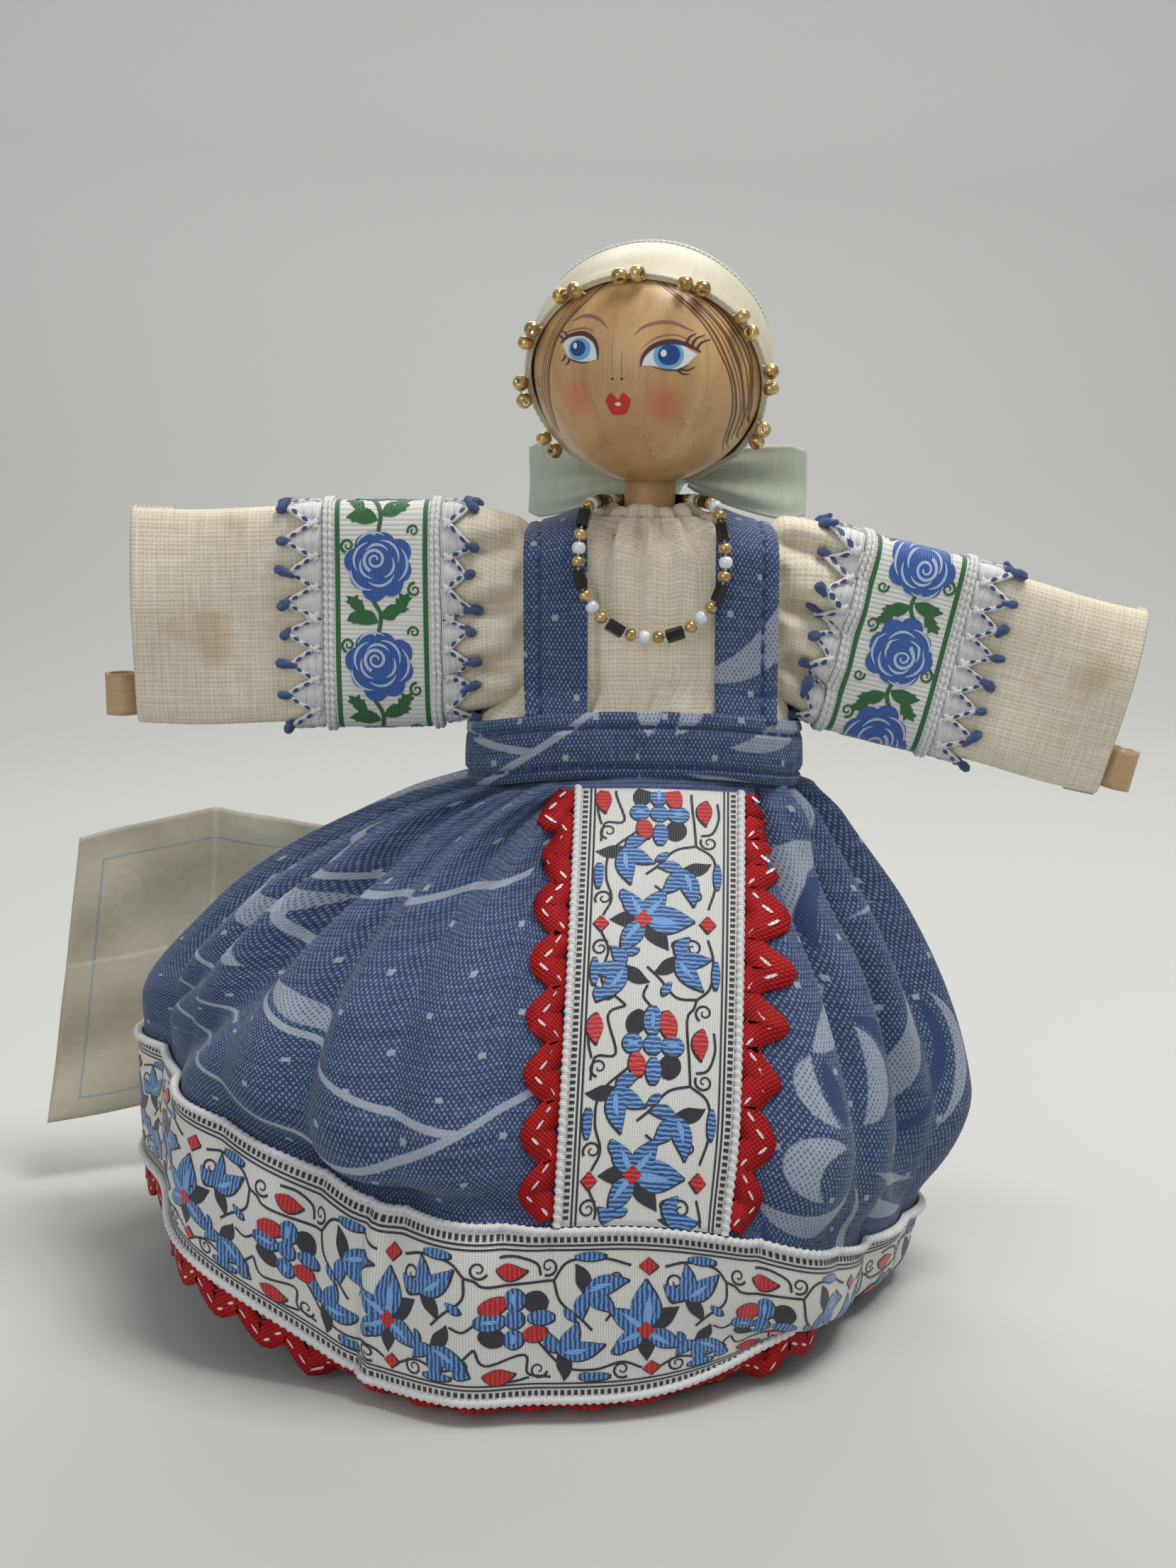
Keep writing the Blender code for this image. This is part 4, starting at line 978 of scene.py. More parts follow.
def on_hem_edge(s, t, lift):
    angle = np.interp(np.mod(s, HEM_GIRTH), hem_arc, hem_turn)
    return raised(below_hem, angle, t, lift)


def sew_rickrack(node, braid, dashes, place, lift):
    band = strokes(node + "_braid", braid, place, lift, red_braid, "stand", 0.7 * MM)
    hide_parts(node)
    strokes(node + "_silver", dashes, place, lift + 0.06 * MM, thread_silver, "stand")


RICKRACK_WAVE = 8.8 * MM
hem_waves = round(HEM_GIRTH / RICKRACK_WAVE)
braid, dashes = wave_braid(HEM_GIRTH, hem_waves, 2.1 * MM, 1.5 * MM, 2.0 * MM)
sew_rickrack("hem_rickrack", braid, dashes, on_hem_edge, 0.8 * MM)


def beside_left(s, t, lift):
    return on_front(s, RIBBON / 2 - t, lift)


def beside_right(s, t, lift):
    return on_front(s, -RIBBON / 2 - t, lift)


waves = round(FRONT_LENGTH / RICKRACK_WAVE)
for name, way, place in (("left", -1, beside_left), ("right", 1, beside_right)):
    braid, dashes = wave_braid(FRONT_LENGTH - 1 * MM, waves, 1.9 * MM, 1.5 * MM, 2.2 * MM)
    flip = np.array([1, way])
    braid = [(path * flip, half) for path, half in braid]
    dashes = [(path * flip, half) for path, half in dashes]
    sew_rickrack("front_rickrack_" + name, braid, dashes, place, 0.75 * MM)
print("rickrack waves round the hem:", hem_waves)

# %% [markdown]
# ## Blouse, straps and waistband
# The blouse covers a padded torso, boxy over the chest and round at the neck, where it is drawn into a small
# frill. Fine folds fan out from the neck. The straps and the waistband are folded damask. A strap has one
# row of stitches near its outer edge, and the waistband has one near each edge.

# %% Blouse and neck frill

WAIST_TOP, CREST = 101.5 * MM, 132.5 * MM
COLLAR = 9.79 * MM


def torso_size(z):
    """Middle, half width, half depth and squareness of the blouse at a height."""
    rise = np.clip((z - (CREST - 7 * MM)) / (7 * MM), 0, 1)
    shoulder = np.cos(rise * np.pi / 2)
    half_width = COLLAR + (21.4 * MM - COLLAR) * shoulder
    half_depth = COLLAR + (12.5 * MM - COLLAR) * shoulder
    flare = 1 - ease(WAIST_TOP - 5 * MM, WAIST_TOP + 4 * MM, z)
    half_width = half_width + (26.9 * MM - half_width) * flare
    half_depth = half_depth + (15.8 * MM - half_depth) * flare
    square = 2.5 + 1.5 * ease(WAIST_TOP - 3 * MM, WAIST_TOP + 6 * MM, z)
    square = square + (2 - square) * ease(CREST - 7 * MM, CREST, z)
    return -2.5 * MM * flare, half_width, half_depth, square


def rounded(angle, half_width, half_depth, square):
    across, ahead = np.sin(angle), np.cos(angle)
    return (np.sign(across) * np.abs(across) ** (2 / square) * half_width,
            -np.sign(ahead) * np.abs(ahead) ** (2 / square) * half_depth)


def torso(angle, depth):
    """Outside of the blouse by the depth below its crest, with folds that fan out from the neck."""
    z = CREST - depth
    middle, half_width, half_depth, square = torso_size(z)
    x, y = rounded(angle, half_width, half_depth, square)
    near = np.exp(-np.clip(depth, 0, None) / (9 * MM))
    spoke = np.arctan2(x, -y)
    fan = (1.6 * ridges(15 * spoke + 0.6 * np.sin(3 * spoke)) + 0.4 * np.cos(31 * spoke + 1)) * near
    tuck = -1.3 * bump(x, -9.6 * MM, 0.7 * MM) * (y < 0) * ease(9 * MM, 15 * MM, depth)
    waist = 0.3 * np.cos(26 * spoke + 0.5) * bump(depth, 31 * MM, 6 * MM)
    out = (fan + tuck + waist) * MM
    length = np.sqrt(x ** 2 + y ** 2) + 1e-9
    lift = 0.7 * fan * MM * ease(0, 1.5 * MM, depth)
    return np.stack([x + middle + out * x / length, y + out * y / length, z + lift], axis=-1)


depths = np.concatenate([np.linspace(0, 8, 26), np.linspace(8.8, 41.7, 40)]) * MM
blouse_turns, blouse_girth = evenly_round(torso, 20 * MM, 260)
gathered_blouse = cloth("gathered_blouse", torso, blouse_turns, depths, (1.0, 1.0), linen, -0.1 * MM,
                        0.5 * MM, True, girth=blouse_girth)
wear(gathered_blouse, "stand", "blouse_body", slot="cream_linen")


def frill(angle, turn):
    """Drawn-up neck edge: plump pleats that stand against the post."""
    pleat = 0.95 + 0.50 * ridges(15 * angle + 0.6 * np.sin(3 * angle)) + 0.06 * np.cos(31 * angle)
    radius = 6.9 * MM + 1.9 * MM * pleat * np.cos(turn)
    height = (2.1 + 0.35 * pleat + 0.35 * np.cos(5 * angle + 1)) * MM
    return np.stack([radius * np.sin(angle), -radius * np.cos(angle),
                     CREST - 0.8 * MM + height * np.sin(turn)], axis=-1)


neck_frill = cloth("neck_frill", frill, around(240), np.linspace(np.pi, -np.pi, 19), (8 * MM, -2 * MM), linen,
                   thickness=0, wrap=True)
wear(neck_frill, "stand", "collar_frill", slot="cream_linen")
print("blouse faces:", len(gathered_blouse.data.polygons))

# %% Torso padding under the blouse


def wadding_paint(start):
    place = object_place(start)
    fluff = noise(start, place, 700, 5.0)
    return fluff.tint((0.60, 0.59, 0.55), (0.86, 0.85, 0.82)), fluff, 0.3 * MM, {}


wadding = finish("wadding", 0.97, wadding_paint)


def padding(angle, depth):
    """The blouse's plain shape without its folds, a little inside it."""
    middle, half_width, half_depth, square = torso_size(CREST - depth)
    x, y = rounded(angle, half_width - 2.2 * MM, half_depth - 2.2 * MM, square)
    return np.stack([x + middle, y, CREST - depth], axis=-1)


pad_rows = np.linspace(4.5, 41, 24) * MM
a, b = np.meshgrid(around(60), pad_rows)
side = padding(a, b)
bore = np.stack([4.6 * MM * np.sin(a[0]), -4.6 * MM * np.cos(a[0])], axis=-1)
caps = [np.dstack([bore[None], np.full((1, 60, 1), height)])
        for height in (side[0, :, 2].mean(), side[-1, :, 2].mean())]
loop = np.concatenate([caps[0], side, caps[1], caps[0]], axis=0)
flat = np.stack(np.meshgrid(np.linspace(0, 0.12, 61), np.linspace(0, 0.06, len(loop))), axis=-1)
torso_wadding = mesh_object("torso_wadding", loop, quads(len(loop), 60, True), corner_uvs(flat), wadding)
wear(torso_wadding, "stand", "torso_padding", slot="wadding")
print("padding faces:", len(torso_wadding.data.polygons))

# %% Straps


def over_shoulder(x, way):
    """Blouse surface at an angle about the middle of the chest; a quarter turn is straight up."""
    middle_z = (WAIST_TOP + CREST) / 2
    x, way = np.broadcast_arrays(x, way)
    low, high = np.zeros(x.shape), np.full(x.shape, 62 * MM)
    for _ in range(30):
        reach = (low + high) / 2
        y, z = reach * np.cos(way), middle_z + reach * np.sin(way)
        middle, half_width, half_depth, square = torso_size(z)
        within = np.abs((x - middle) / half_width) ** square + np.abs(y / half_depth) ** square
        inside = (z < CREST) & (within < 1)
        low, high = np.where(inside, reach, low), np.where(inside, high, reach)
    return np.stack([x, low * np.cos(way), middle_z + low * np.sin(way)], axis=-1)


STRAP_TUCK = 1.8 * MM


def strap_end(x):
    """Angle at which a strap ends, tucked in behind the waistband's upper edge."""
    end_z = WAIST_TOP - 3.4 * MM * np.abs((x + 2.5 * MM) / (28.5 * MM)) ** 2.6 - STRAP_TUCK
    low, high = np.full(np.shape(x), math.radians(-80)), np.zeros(np.shape(x))
    for _ in range(24):
        angle = (low + high) / 2
        above = over_shoulder(x, angle)[..., 2] > end_z
        low, high = np.where(above, low, angle), np.where(above, angle, high)
    return high


end_x = np.linspace(-21, 21, 85) * MM
end_angle = strap_end(end_x)
STRAP_INNER, STRAP_MIDDLE, STRAP_OUTER = 10.3 * MM, 15.3 * MM, 20.3 * MM
STRAP_LIFT = 1.55 * MM
strap_run = np.linspace(0, 1, 260)


def strap_seat(x, share):
    """Blouse under a strap, from the waistband behind to that in front; flatter at its outer edge."""
    x, share = np.broadcast_arrays(np.asarray(x, dtype=float), share)
    seat = x * (1 - 0.10 * ease(14 * MM, STRAP_OUTER, np.abs(x)))
    end = np.interp(seat, end_x, end_angle)
    point = over_shoulder(seat, end + (np.pi - 2 * end) * share)
    return np.stack([x, point[..., 1], point[..., 2]], axis=-1)


def strap(x, share):
    """Outside of a strap: its edges roll in, and the row of stitches lies in a groove."""
    groove = 0.55 * bump(np.abs(x), 18 * MM, 0.35 * MM)
    edge = 0.40 * (bump(np.abs(x), STRAP_OUTER, 0.5 * MM) + bump(np.abs(x), STRAP_INNER, 0.5 * MM))
    return raised(strap_seat, x, share, STRAP_LIFT - (groove + edge) * MM)


def stitch_row(length, offset, pitch=3.2 * MM):
    """Stitches along a row, each a short plump stroke."""
    rows = []
    for s in np.arange(0.8 * MM, length - 2.4 * MM, pitch):
        rows.append((np.array([[s, offset], [s + 1.2 * MM, offset], [s + 2.4 * MM, offset]]),
                     np.array([0.22, 0.34, 0.22]) * MM))
    return rows


for side, name in ((1, "left"), (-1, "right")):
    middle = side * STRAP_MIDDLE
    columns = np.sort(side * np.linspace(STRAP_INNER, STRAP_OUTER, 81))
    arc = arc_table(strap(np.full(260, middle), strap_run))
    fall = np.linspace(0, arc[-1], 120)
    band = cloth("damask_strap_" + name, strap, columns, np.interp(fall, arc, strap_run), (1.0, 1.0), damask,
                 0.0, 0.8 * MM, fall=fall, shift=((44 + 12 * side) * MM, -25 * MM))
    wear(band, "stand", "strap_" + name, slot="blue_damask")
    width = arc_table(strap(columns, np.full(len(columns), 0.2)))[-1]
    print("strap width and length, mm:", name, round(width / MM, 1), round(arc[-1] / MM, 1))

    def on_strap(s, t, lift):
        return raised(strap, middle - t, np.interp(s, arc, strap_run), lift)

    strokes("strap_stitches_" + name, stitch_row(arc[-1], -side * 2.7 * MM), on_strap, 0.08 * MM, thread_navy,
            "stand", 0.1 * MM)

# %% Waistband

BAND_MIDDLE = 5.5 * MM
STITCH_ROWS = (2.5 * MM, 9.0 * MM)


def waistband(angle, depth):
    """Folded band, with depth down it: its edges roll in, and each row of stitches lies in a groove."""
    x, y = rounded(angle, 28.5 * MM, 17.5 * MM, 2.6)
    groove = 0.85 * MM * sum(bump(depth, row, 0.45 * MM) for row in STITCH_ROWS)
    ripple = 0.15 * MM * np.cos(31 * angle) * np.cos(depth * 400)
    roll = 0.8 * MM * np.abs(depth / BAND_MIDDLE - 1) ** 5 - ripple + groove
    length = np.sqrt(x ** 2 + y ** 2)
    z = WAIST_TOP - depth - 3.4 * MM * np.sin(angle) ** 2
    return np.stack([x * (1 - roll / length) - 2.5 * MM, y * (1 - roll / length), z], axis=-1)


band_turn = np.linspace(0, TURN, 1200)
band_turns, band_girth = evenly_round(waistband, BAND_MIDDLE, 260)
band_rows = np.linspace(0, 11, 56) * MM
folded_band = cloth("folded_waistband", waistband, band_turns, band_rows, (1.0, 1.0), damask,
                    thickness=1.0 * MM, wrap=True, girth=band_girth, shift=(46 * MM, 48 * MM))
wear(folded_band, "stand", "waistband", slot="blue_damask")
band_height = arc_table(waistband(np.zeros(56), band_rows))[-1]
print("waistband girth and height, mm:", round(band_girth / MM, 1), round(band_height / MM, 1))
band_arc = arc_table(waistband(band_turn, np.full(1200, BAND_MIDDLE)))


def on_waistband(s, t, lift):
    return raised(waistband, np.interp(s, band_arc, band_turn), t, lift)


stitches = stitch_row(band_arc[-1], STITCH_ROWS[0]) + stitch_row(band_arc[-1], STITCH_ROWS[1])
strokes("waistband_stitches", stitches, on_waistband, 0.08 * MM, thread_navy, "stand", 0.1 * MM)
print("waistband stitches:", len(stitches))

# %% [markdown]
# ## Sleeves
# Each sleeve is a flat tube of linen, gathered at the armhole.

# %% Sleeve formula

SHOULDER = np.array([21.3, 0, 115.5]) * MM
SIDES = {"right": dict(side=-1, length=65 * MM, half=18.1 * MM, trim=13.3 * MM, droop=0.0),
         "left": dict(side=1, length=60.6 * MM, half=16 * MM, trim=10.8 * MM, droop=math.radians(14))}


def sleeve_skin(side, length, half, droop):
    """Outside of a sleeve: the angle goes round from its top, the reach from the armhole to the cuff."""
    def skin(angle, reach):
        share = np.clip(reach / length, 0, 1.1)
        up, behind = np.cos(angle), np.sin(angle)
        full = ease(-1 * MM, 0.2 * length, reach)
        upper = 16.4 * MM + (half - 16.4 * MM) * ease(0, 8 * MM, reach)
        upper = upper - 2.6 * MM * ease(1 * MM, -3 * MM, reach)
        lower = 15.0 * MM + (half - 15.0 * MM) * ease(0, 0.28 * length, reach)
        depth = (7.4 + (4.4 - 7.4) * ease(0, 0.42, share)) * MM
        power = 0.5 + 0.2 * (1 - full)
        z = np.sign(up) * np.abs(up) ** power * np.where(up > 0, upper, lower)
        y = np.sign(behind) * np.abs(behind) ** power * depth
        root = 1 - ease(2 * MM, 15 * MM, reach)
        phase = TURN * z / (9.5 * MM) + 1.1 + reach / (6 * MM)
        pleat = 2.1 * MM * ridges(phase) * root * ease(-1 * MM, 2 * MM, reach)
        pleat = pleat + 0.4 * MM * np.cos(TURN * z / (5 * MM) + 0.4) * root
        billow = 0.45 * MM * np.sin(reach / (8 * MM) + z / (6 * MM)) * ease(0.05, 0.3, share)
        cuff = 0.6 * MM * np.sin(z / (5 * MM) + 0.8) * ease(0.72, 1.0, share)
        y = y + np.sign(behind) * np.abs(behind) ** 0.3 * (pleat + billow + cuff)
        sag = 0.7 * MM * np.sin(reach / (11 * MM)) * ease(0.5, 0.9, share) * np.abs(up)
        bend = -droop * ease(-1 * MM, 11 * MM, reach)
        local = z + sag
        x = SHOULDER[0] + reach * np.cos(bend) - local * np.sin(bend)
        height = SHOULDER[2] + reach * np.sin(bend) + local * np.cos(bend)
        return np.stack([side * x, side * y, height], axis=-1)
    return skin


SLEEVE_SET_IN = 2.2 * MM
SLEEVE_COLUMNS = 170
sleeve_skins = {}
for name, facts in SIDES.items():
    skin = sleeve_skin(facts["side"], facts["length"], facts["half"], facts["droop"])
    sleeve_skins[name] = skin
    reach_rows = np.concatenate([np.linspace(-SLEEVE_SET_IN / MM, 16, 48),
                                 np.linspace(16.8, facts["length"] / MM, 60)]) * MM
    turns, girth = evenly_round(skin, facts["length"] * 0.6, SLEEVE_COLUMNS)
    a, b = np.meshgrid(turns, reach_rows)
    outer = skin(a, b)
    inner = raised(skin, a, b, -0.45 * MM)
    shell = np.concatenate([inner[::-1], outer], axis=0)[::-1]
    flat = np.stack(np.meshgrid(np.linspace(0, girth, SLEEVE_COLUMNS + 1),
                                np.concatenate([reach_rows[::-1], reach_rows])), axis=-1)
    cuff = quads(2, SLEEVE_COLUMNS, True)
    last_row = SLEEVE_COLUMNS * (len(shell) - 1)
    cuff = np.where(cuff < SLEEVE_COLUMNS, cuff + last_row, cuff - SLEEVE_COLUMNS)
    faces = np.concatenate([quads(len(shell), SLEEVE_COLUMNS, True), cuff])
    uvs = np.concatenate([corner_uvs(flat), corner_uvs(flat[[-1, 0]])])
    sleeve = mesh_object("linen_sleeve_" + name, shell, faces, uvs, stained_linen)
    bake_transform(sleeve)
    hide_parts("sleeve_" + name)

# %% [markdown]
# Round each sleeve goes a pale ribbed ribbon with blue roses and green stripes, and a gathered lace along
# each of its edges. The lace's outer edge carries knots of blue thread.

# %% Roses


def rose(s, t, size):
    """Full rose: a scalloped blue bloom with pale petal lines that wind to its heart."""
    bloom, lines = [disc((s, t), 0.62 * size)], []
    for turn in range(8):
        angle = turn * TURN / 8 + 0.2
        reach = 0.62 + 0.06 * math.cos(3 * angle)
        bloom.append(disc((s + reach * size * math.cos(angle), t + reach * size * math.sin(angle)),
                          0.36 * size))
    heart = (s - 0.16 * size, t + 0.12 * size)
    lines.append(curl(heart, 0.34 * size, 0.4, 1.7, 0.10 * size, 30))
    for radius, begin, sweep in ((0.46, 0.3, 1.5), (0.46, 2.4, 1.5), (0.46, 4.4, 1.4), (0.62, 1.2, 1.5),
                                 (0.62, 3.3, 1.4), (0.60, 5.3, 1.4), (0.78, 0.2, 1.1), (0.78, 2.3, 1.1),
                                 (0.80, 4.2, 1.2)):
        t_arc = begin + np.linspace(0, sweep, 14)
        swell = radius * size * (1 + 0.10 * np.sin(np.linspace(0, math.pi, 14)))
        arc = swell[:, None] * np.stack([np.cos(t_arc), np.sin(t_arc)], axis=-1)
        path = np.asarray(heart) + np.array([0.08, -0.06]) * size + arc
        lines.append((path, 0.038 * size * np.sin(np.pi * np.linspace(0.08, 0.92, 14))))
    return bloom, lines


def rose_repeat(pitch):
    royal, light, green = [], [], []
    petals, veins = rose(pitch * 0.5, 0.4 * MM, 5.9 * MM)
    royal += petals
    light += veins
    green.append(line([(-0.16 * pitch, 1.6 * MM), (0.0, 0.2 * MM), (0.2 * pitch, 0.6 * MM)], 0.7 * MM))
    for s, t, degrees, length, width, bend in ((0.02, 0.0, -125, 5.0, 2.3, 0.7),
                                               (0.06, 0.6, 110, 5.4, 2.4, -0.6),
                                               (-0.02, -2.6, -160, 4.2, 1.8, 0.5),
                                               (0.0, 3.0, 150, 4.4, 1.9, -0.5)):
        way = math.radians(degrees)
        green.append(leaf((s * pitch, t * MM), way, length * MM, width * MM, bend))
        for share in (0.35, 0.6):
            reach, lean = share * length * MM, way + bend * share / 2
            tooth = (s * pitch + reach * math.cos(lean), t * MM + reach * math.sin(lean))
            green.append(leaf(tooth, way + 0.9, 1.5 * MM, 0.8 * MM))
            green.append(leaf(tooth, way - 0.9, 1.5 * MM, 0.8 * MM))
    green += [curl((0.30 * pitch, 5.7 * MM), 1.2 * MM, 0.3, 1.3, 0.5 * MM),
              curl((0.74 * pitch, -5.6 * MM), 1.2 * MM, 3.2, -1.3, 0.5 * MM),
              curl((0.16 * pitch, -5.4 * MM), 1.0 * MM, 1.2, 1.3, 0.45 * MM)]
    return royal, light, green


print("rose drawn")

# %% Sleeve ribbons, lace and knots

SLEEVE_RIBBON = 19.6 * MM
lace_white = finish("lace_white", 0.85, thread_paint((0.60, 0.60, 0.60), (0.90, 0.90, 0.89), 0.15))


def knots(name, middles, ways, size, material, body):
    """Small plump loops of thread that stand on an edge, each leaning its own way."""
    profile = [(0.02, -1), (0.5, -0.8), (0.62, -0.3), (0.95, 0.25), (0.8, 0.75), (0.02, 1)]
    frames = []
    for number, (middle, way) in enumerate(zip(middles, ways)):
        lean = Matrix.Rotation(0.75 * math.cos(number * 1.7), 3, "X")
        lean = lean @ Matrix.Rotation(0.6 * math.sin(number * 2.4), 3, "Y")
        turn = Vector(way).to_track_quat("Z", "Y").to_matrix() @ lean
        plump = 1 + 0.22 * math.sin(number * 3.1)
        stretch = Matrix.Diagonal((size * 0.66 * plump, size * 0.52 * plump,
                                   size * (1 + 0.25 * math.sin(number * 4.3))))
        frames.append(Matrix.Translation(middle) @ (turn @ stretch).to_4x4())
    return wear(lathe(name, profile, 10, material, frames), body)


def lace_edging(waves, pitch, edge, side, width):
    """Points of woven lace along an edge: filled points, cord outlines and dark dashes, by name."""
    points, cords, dashes = [], [], []
    for number in range(waves):
        s = number * pitch
        tip = np.array([s + pitch / 2, edge + side * width * (0.9 + 0.08 * math.sin(number * 2.3))])
        for foot in (s - 0.10 * pitch, s + 1.10 * pitch):
            base = np.array([foot, edge + side * 0.1 * width])
            bent = base * 0.45 + tip * 0.55 + np.array([0, side * 0.05 * width])
            cords.append(line([base, bent, tip], 0.75 * MM))
            for share in (0.30, 0.62):
                spot = base * (1 - share) + tip * share
                way = math.atan2(*(tip - base)[::-1])
                dashes.append(leaf(spot, way, 1.25 * MM, 0.62 * MM))
        middle = np.array([s + pitch / 2, edge])
        path = np.linspace(middle, tip, 7)
        points.append((path, pitch * 0.52 * np.linspace(1, 0.12, 7)))
        for share in (0.25, 0.5):
            row = middle * (1 - share) + tip * share
            wide = pitch * 0.42 * (1 - share)
            points.append((np.array([row - [wide, 0], row, row + [wide, 0]]), np.full(3, 0.22 * MM)))
    return points, cords, dashes


for name, facts in SIDES.items():
    skin, body, trim = sleeve_skins[name], name + "_arm", facts["trim"]
    turns = np.linspace(0, TURN, 1201)
    girth = arc_table(skin(turns, np.full(1201, trim + SLEEVE_RIBBON / 2)))

    def on_sleeve(s, t, lift):
        """s runs round the sleeve from its top, t outwards from the ribbon's middle."""
        angle = np.interp(np.mod(s, girth[-1]), girth, turns)
        return raised(skin, angle, trim + SLEEVE_RIBBON / 2 + t, lift)

    reach = np.linspace(trim, trim + SLEEVE_RIBBON, 26)
    even, whole = evenly_round(skin, trim + SLEEVE_RIBBON / 2, SLEEVE_COLUMNS)
    ribbon = cloth("rose_ribbon_" + name, skin, even, reach, (1.0, 1.0), rose_ribbon_white, 0.95 * MM,
                   0.5 * MM, True, girth=whole)
    wear(ribbon, body, "sleeve_ribbon_" + name, slot="rose_ribbon")
    count = 5
    pitch = girth[-1] / count
    royal, light, green = rose_repeat(pitch)
    shift = 0.22 * pitch
    for label, lines, material, lift in (("green", green, thread_green, 1.04),
                                         ("royal", royal, thread_royal, 1.08),
                                         ("light", light, thread_veins, 1.13)):
        spread = []
        for number in range(count):
            spread += moved(lines, (number * pitch + shift, 0))
        if label == "green":
            way = np.linspace(0, girth[-1], 120)
            for offset in (-7.4, 7.4):
                spread.append((np.stack([way, np.full(120, offset * MM)], axis=-1), np.full(120, 0.40 * MM)))
        strokes("rose_%s_%s" % (label, name), spread, on_sleeve, lift * MM, material, body)
    run = np.linspace(0, girth[-1], 420, endpoint=False)
    cords = [on_sleeve(run, np.full(420, side * offset * MM), 1.15 * MM) for side in (-1, 1)
             for offset in (9.4, 8.6)]
    tubes("rose_ribbon_cords_" + name, cords, 0.42 * MM, thread_white, body, ripple=0.22, closed=True)

    waves = 16
    scallop = girth[-1] / waves
    for place_name, side, width in (("inner", -1, 5.2 * MM), ("outer", 1, 6.6 * MM)):
        edge = side * (SLEEVE_RIBBON / 2 + 0.1 * MM)
        points, cords, dashes = lace_edging(waves, scallop, edge, side, width)
        lace = strokes("lace_%s_%s" % (place_name, name), points, on_sleeve, 0.85 * MM, lace_white, body,
                       0.3 * MM)
        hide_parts("sleeve_lace_%s_%s" % (place_name, name))
        strokes("lace_cords_%s_%s" % (place_name, name), cords, on_sleeve, 1.15 * MM, lace_white, body,
                0.4 * MM)
        strokes("lace_dashes_%s_%s" % (place_name, name), dashes, on_sleeve, 1.22 * MM, thread_navy, body)
        spots = (np.arange(waves) + 0.5) * scallop
        middles = on_sleeve(spots, np.full(waves, edge + side * width * 0.95), 1.1 * MM)
        tips = on_sleeve(spots + 0.4 * MM, np.full(waves, edge + side * (width * 0.95 + 1.5 * MM)), 1.7 * MM)
        knots("lace_knots_%s_%s" % (place_name, name), middles, tips - middles, 1.75 * MM, thread_royal, body)
print("sleeve trims ready")

# %% [markdown]
# ## Hands
# The hands are the ends of a flat tan strip, folded back into a loop that peeps out of each cuff.

# %% Hand strips


def strip_paint(start):
    place = flat_place(start)[0]
    grain = streaks(start, place, (60, 1800, 1), 3.0)
    return grain.tint((0.40, 0.25, 0.12), (0.62, 0.42, 0.23)), grain, 0.04 * MM, {"Coat Weight": 0.3}


tan_strip = finish("tan_strip", 0.4, strip_paint)
for name, facts in SIDES.items():
    side, length, droop = facts["side"], facts["length"], facts["droop"]
    below = facts["half"] - 1.1 * MM - 3.5 * MM

    def strip(share, across):
        far = length + 5.4 * MM
        front = share < 0.5
        x = np.where(front, length * 0.42, length * 0.6)
        x = x + (far - x) * np.sin(np.pi * share)
        beyond = np.clip(x - length, 0, None) / (5.4 * MM)
        bulge = ease(0, 0.45, beyond) * np.sqrt(np.clip(1 - beyond ** 4, 0, None))
        gap = 0.9 * MM * np.sqrt(np.clip(1 - (x / far) ** 40, 0, None)) + bulge * 1.4 * MM
        y = np.where(front, -gap, gap)
        z = -below - across * 3.5 * MM
        reach = SHOULDER[0] + x * math.cos(droop) + z * math.sin(droop)
        height = SHOULDER[2] - x * math.sin(droop) + z * math.cos(droop)
        return np.stack([side * reach, side * y, height], axis=-1)

    shares = np.concatenate([np.linspace(0.01, 0.36, 20), np.linspace(0.37, 0.63, 60),
                             np.linspace(0.64, 0.99, 20)])
    hand = cloth("hand_strip_" + name, strip, shares, np.linspace(-1, 1, 7), (0.09, 3.5 * MM), tan_strip,
                 0.3 * MM, 0.6 * MM)
    wear(hand, name + "_arm", "arm_strip_" + name, slot="tan_strip")
print("hand strips ready")

# %% [markdown]
# ## Head
# The head is a turned ball of light wood, varnished, with its grain running up and down. Eyes, brows and
# lips are laid on it as thin strokes of paint. The cheeks' blush is soft, so it is part of the wood's own
# colour.

# %% Wood and the head ball

HEAD = np.array([0, 0, 156.7]) * MM
RADIUS = 19.3 * MM
FACE_TURN = math.radians(-20)


def wood_paint(blush):
    def paint(start):
        place = object_place(start)
        grain = streaks(start, place, (420, 420, 26), 4.0)
        wide = streaks(start, place, (90, 150, 9))
        fine = streaks(start, place, (2600, 2600, 120), 1.0)
        colour = wide.rise(0.3, 0.7).tint((0.52, 0.30, 0.115), (0.66, 0.42, 0.185))
        colour = (grain.rise(0.45, 0.7) * 0.45).tint(colour, (0.40, 0.20, 0.075))
        colour = (fine.rise(0.5, 0.75) * 0.25).tint(colour, (0.30, 0.15, 0.06))
        for middle in blush:
            away = distance(place, middle)
            colour = ((1 - away.rise(0.2 * MM, 5.4 * MM)) * 0.62).tint(colour, (0.62, 0.11, 0.07))
        return colour, fine, 0.02 * MM, {"Coat Weight": 0.35, "Coat Roughness": 0.25}
    return paint


def face_point(x, z):
    """Place on the ball for a point of the face seen from straight in front, in ball radii."""
    x, z = np.asarray(x, dtype=float), np.asarray(z, dtype=float)
    y = -np.sqrt(np.clip(1 - x ** 2 - z ** 2, 0, None))
    c, s = math.cos(FACE_TURN), math.sin(FACE_TURN)
    return np.stack([x * c - y * s, x * s + y * c, z], axis=-1)


cheeks = [tuple(face_point(x, z) * RADIUS) for x, z in ((-0.34, -0.27), (0.40, -0.31))]
head_wood = finish("varnished_head_wood", 0.42, wood_paint(cheeks))
plain_wood = finish("turned_wood", 0.5, wood_paint([]))

